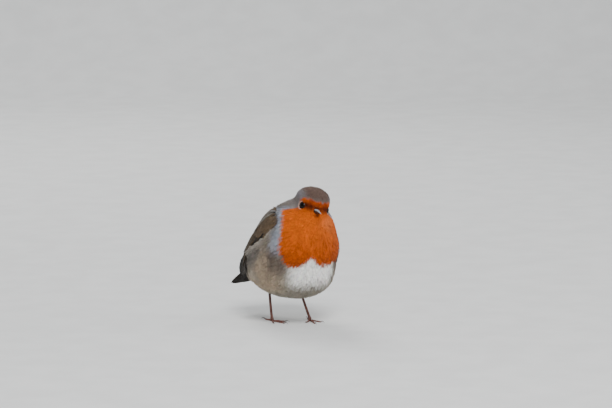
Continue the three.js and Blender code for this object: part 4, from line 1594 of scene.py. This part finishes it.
def build_bird():
    finished(skin_piece(), skin_finish(), "breast_feathers", "head", "neck", "trunk")
    build_coat()
    wet, lid = eye_finish(), lid_finish()
    for side in SIDES:
        points, faces, corners = eyeball(side)
        finished(make_piece(f"eyeball_{side}", points, faces, {"polar": corners}), wet, "eye", f"eye_{side}")
        points, faces, corners = eye_lids(side)
        finished(make_piece(f"lids_{side}", points, faces, {"rim": corners}), lid, "face_feathers")
    # the upper half gets a painted highlight along its ridge, the lower half none
    for half, ridge_highlight in (("upper", 0.9), ("lower", 0.0)):
        points, faces, corners = mandible(half == "upper")
        piece = make_piece(f"mandible_{half}", points, faces, {"horn_map": corners})
        finished(piece, horn_finish(f"bill_{half}_horn", ridge_highlight), "bill", f"bill_{half}")
    stiff = vane_finish("wing_vanes")
    wing = folded_wing()
    finished(wing.piece("wing_feathers_left"), stiff, "wing_feathers", "wing_left")
    finished(wing.piece("wing_feathers_right", mirrored=True), stiff, "wing_feathers", "wing_right")
    tail = fanned_tail()
    finished(tail.piece("tail_feathers"), vane_finish("tail_vanes"), "tail_feathers", "tail")
    feet()


# ---- Floor, light and camera ----

CAMERA_TURN, CAMERA_RISE = -42, 8  # degrees round the bird and above level
LENS, SENSOR = 200, 36
FRAME_WIDTH = 0.82 * 612 * MM  # what the frame takes in at the bird
FRAME_MIDDLE = 11.5, 95.9  # millimetres to the right of the bird's own origin and above it
SHEET_REACH, SHEET_BEND, SHEET_TOP, SHEET_HALF = 1.6, 0.5, 2.2, 3.5  # metres


def pale_finish():
    made = Finish("pale_floor", Roughness=0.9, Specular_IOR_Level=0.1)
    shade = linear("dcdcda")
    made.colour(made.mix(made.stretch(made.noise(30, 3, 0.5), 0, 1), shade * 0.97, shade * 1.03))
    return made.material


def stage():
    """A pale sheet that is the floor in front and curves up behind the bird."""
    profile = [(-3.0, 0.0), (SHEET_REACH, 0.0)]
    for i in range(1, 13):
        angle = math.pi / 2 * i / 12
        profile.append((SHEET_REACH + SHEET_BEND * math.sin(angle), SHEET_BEND * (1 - math.cos(angle))))
    profile.append((SHEET_REACH + SHEET_BEND, SHEET_TOP))
    facing = math.radians(CAMERA_TURN)
    right, ahead = v(math.cos(facing), math.sin(facing), 0), v(-math.sin(facing), math.cos(facing), 0)
    points = []
    for along, up in profile:
        points += [right * across + ahead * along + v(0, 0, up) for across in (-SHEET_HALF, SHEET_HALF)]
    faces = [(2 * i, 2 * i + 1, 2 * i + 3, 2 * i + 2) for i in range(len(profile) - 1)]
    sheet = make_piece("floor", np.array(points) / MM - STANCE, faces, {})
    sheet.data.materials.append(pale_finish())


def soft_lamp(name, at, size, power):
    lamp = bpy.data.lights.new(name, "AREA")
    lamp.shape, lamp.size, lamp.energy = "DISK", size, power
    holder = shown(name, lamp)
    holder.location = at
    aim = Vector((0, 0, 0.06)) - Vector(at)
    holder.rotation_euler = aim.to_track_quat("-Z", "Y").to_euler()


def camera():
    facing, rise = math.radians(CAMERA_TURN), math.radians(CAMERA_RISE)
    back = v(math.sin(facing) * math.cos(rise), -math.cos(facing) * math.cos(rise), math.sin(rise))
    right = v(math.cos(facing), math.sin(facing), 0)
    up = np.cross(back, right)
    target = (STANCE + right * FRAME_MIDDLE[0] + up * FRAME_MIDDLE[1]) * MM
    seen = bpy.data.cameras.new("camera")
    seen.lens, seen.sensor_width = LENS, SENSOR
    seen.clip_start, seen.clip_end = 0.05, 50
    holder = shown("camera", seen)
    holder.matrix_world = Matrix(np.c_[right, up, back].tolist()).to_4x4()
    holder.location = target + back * (FRAME_WIDTH * LENS / SENSOR)
    bpy.context.scene.camera = holder


def light():
    world = bpy.data.worlds.new("studio")
    world.use_nodes = True
    sky = world.node_tree.nodes["Background"].inputs
    sky["Color"].default_value = (0.86, 0.9, 0.96, 1)
    sky["Strength"].default_value = 0.55
    bpy.context.scene.world = world
    soft_lamp("key", (-0.7, -1.1, 1.5), 0.9, 33)
    soft_lamp("fill", (1.3, -1.1, 0.7), 1.4, 9)
    soft_lamp("rim", (0.5, 1.3, 1.4), 0.9, 20)


camera()
light()
stage()
build_bird()
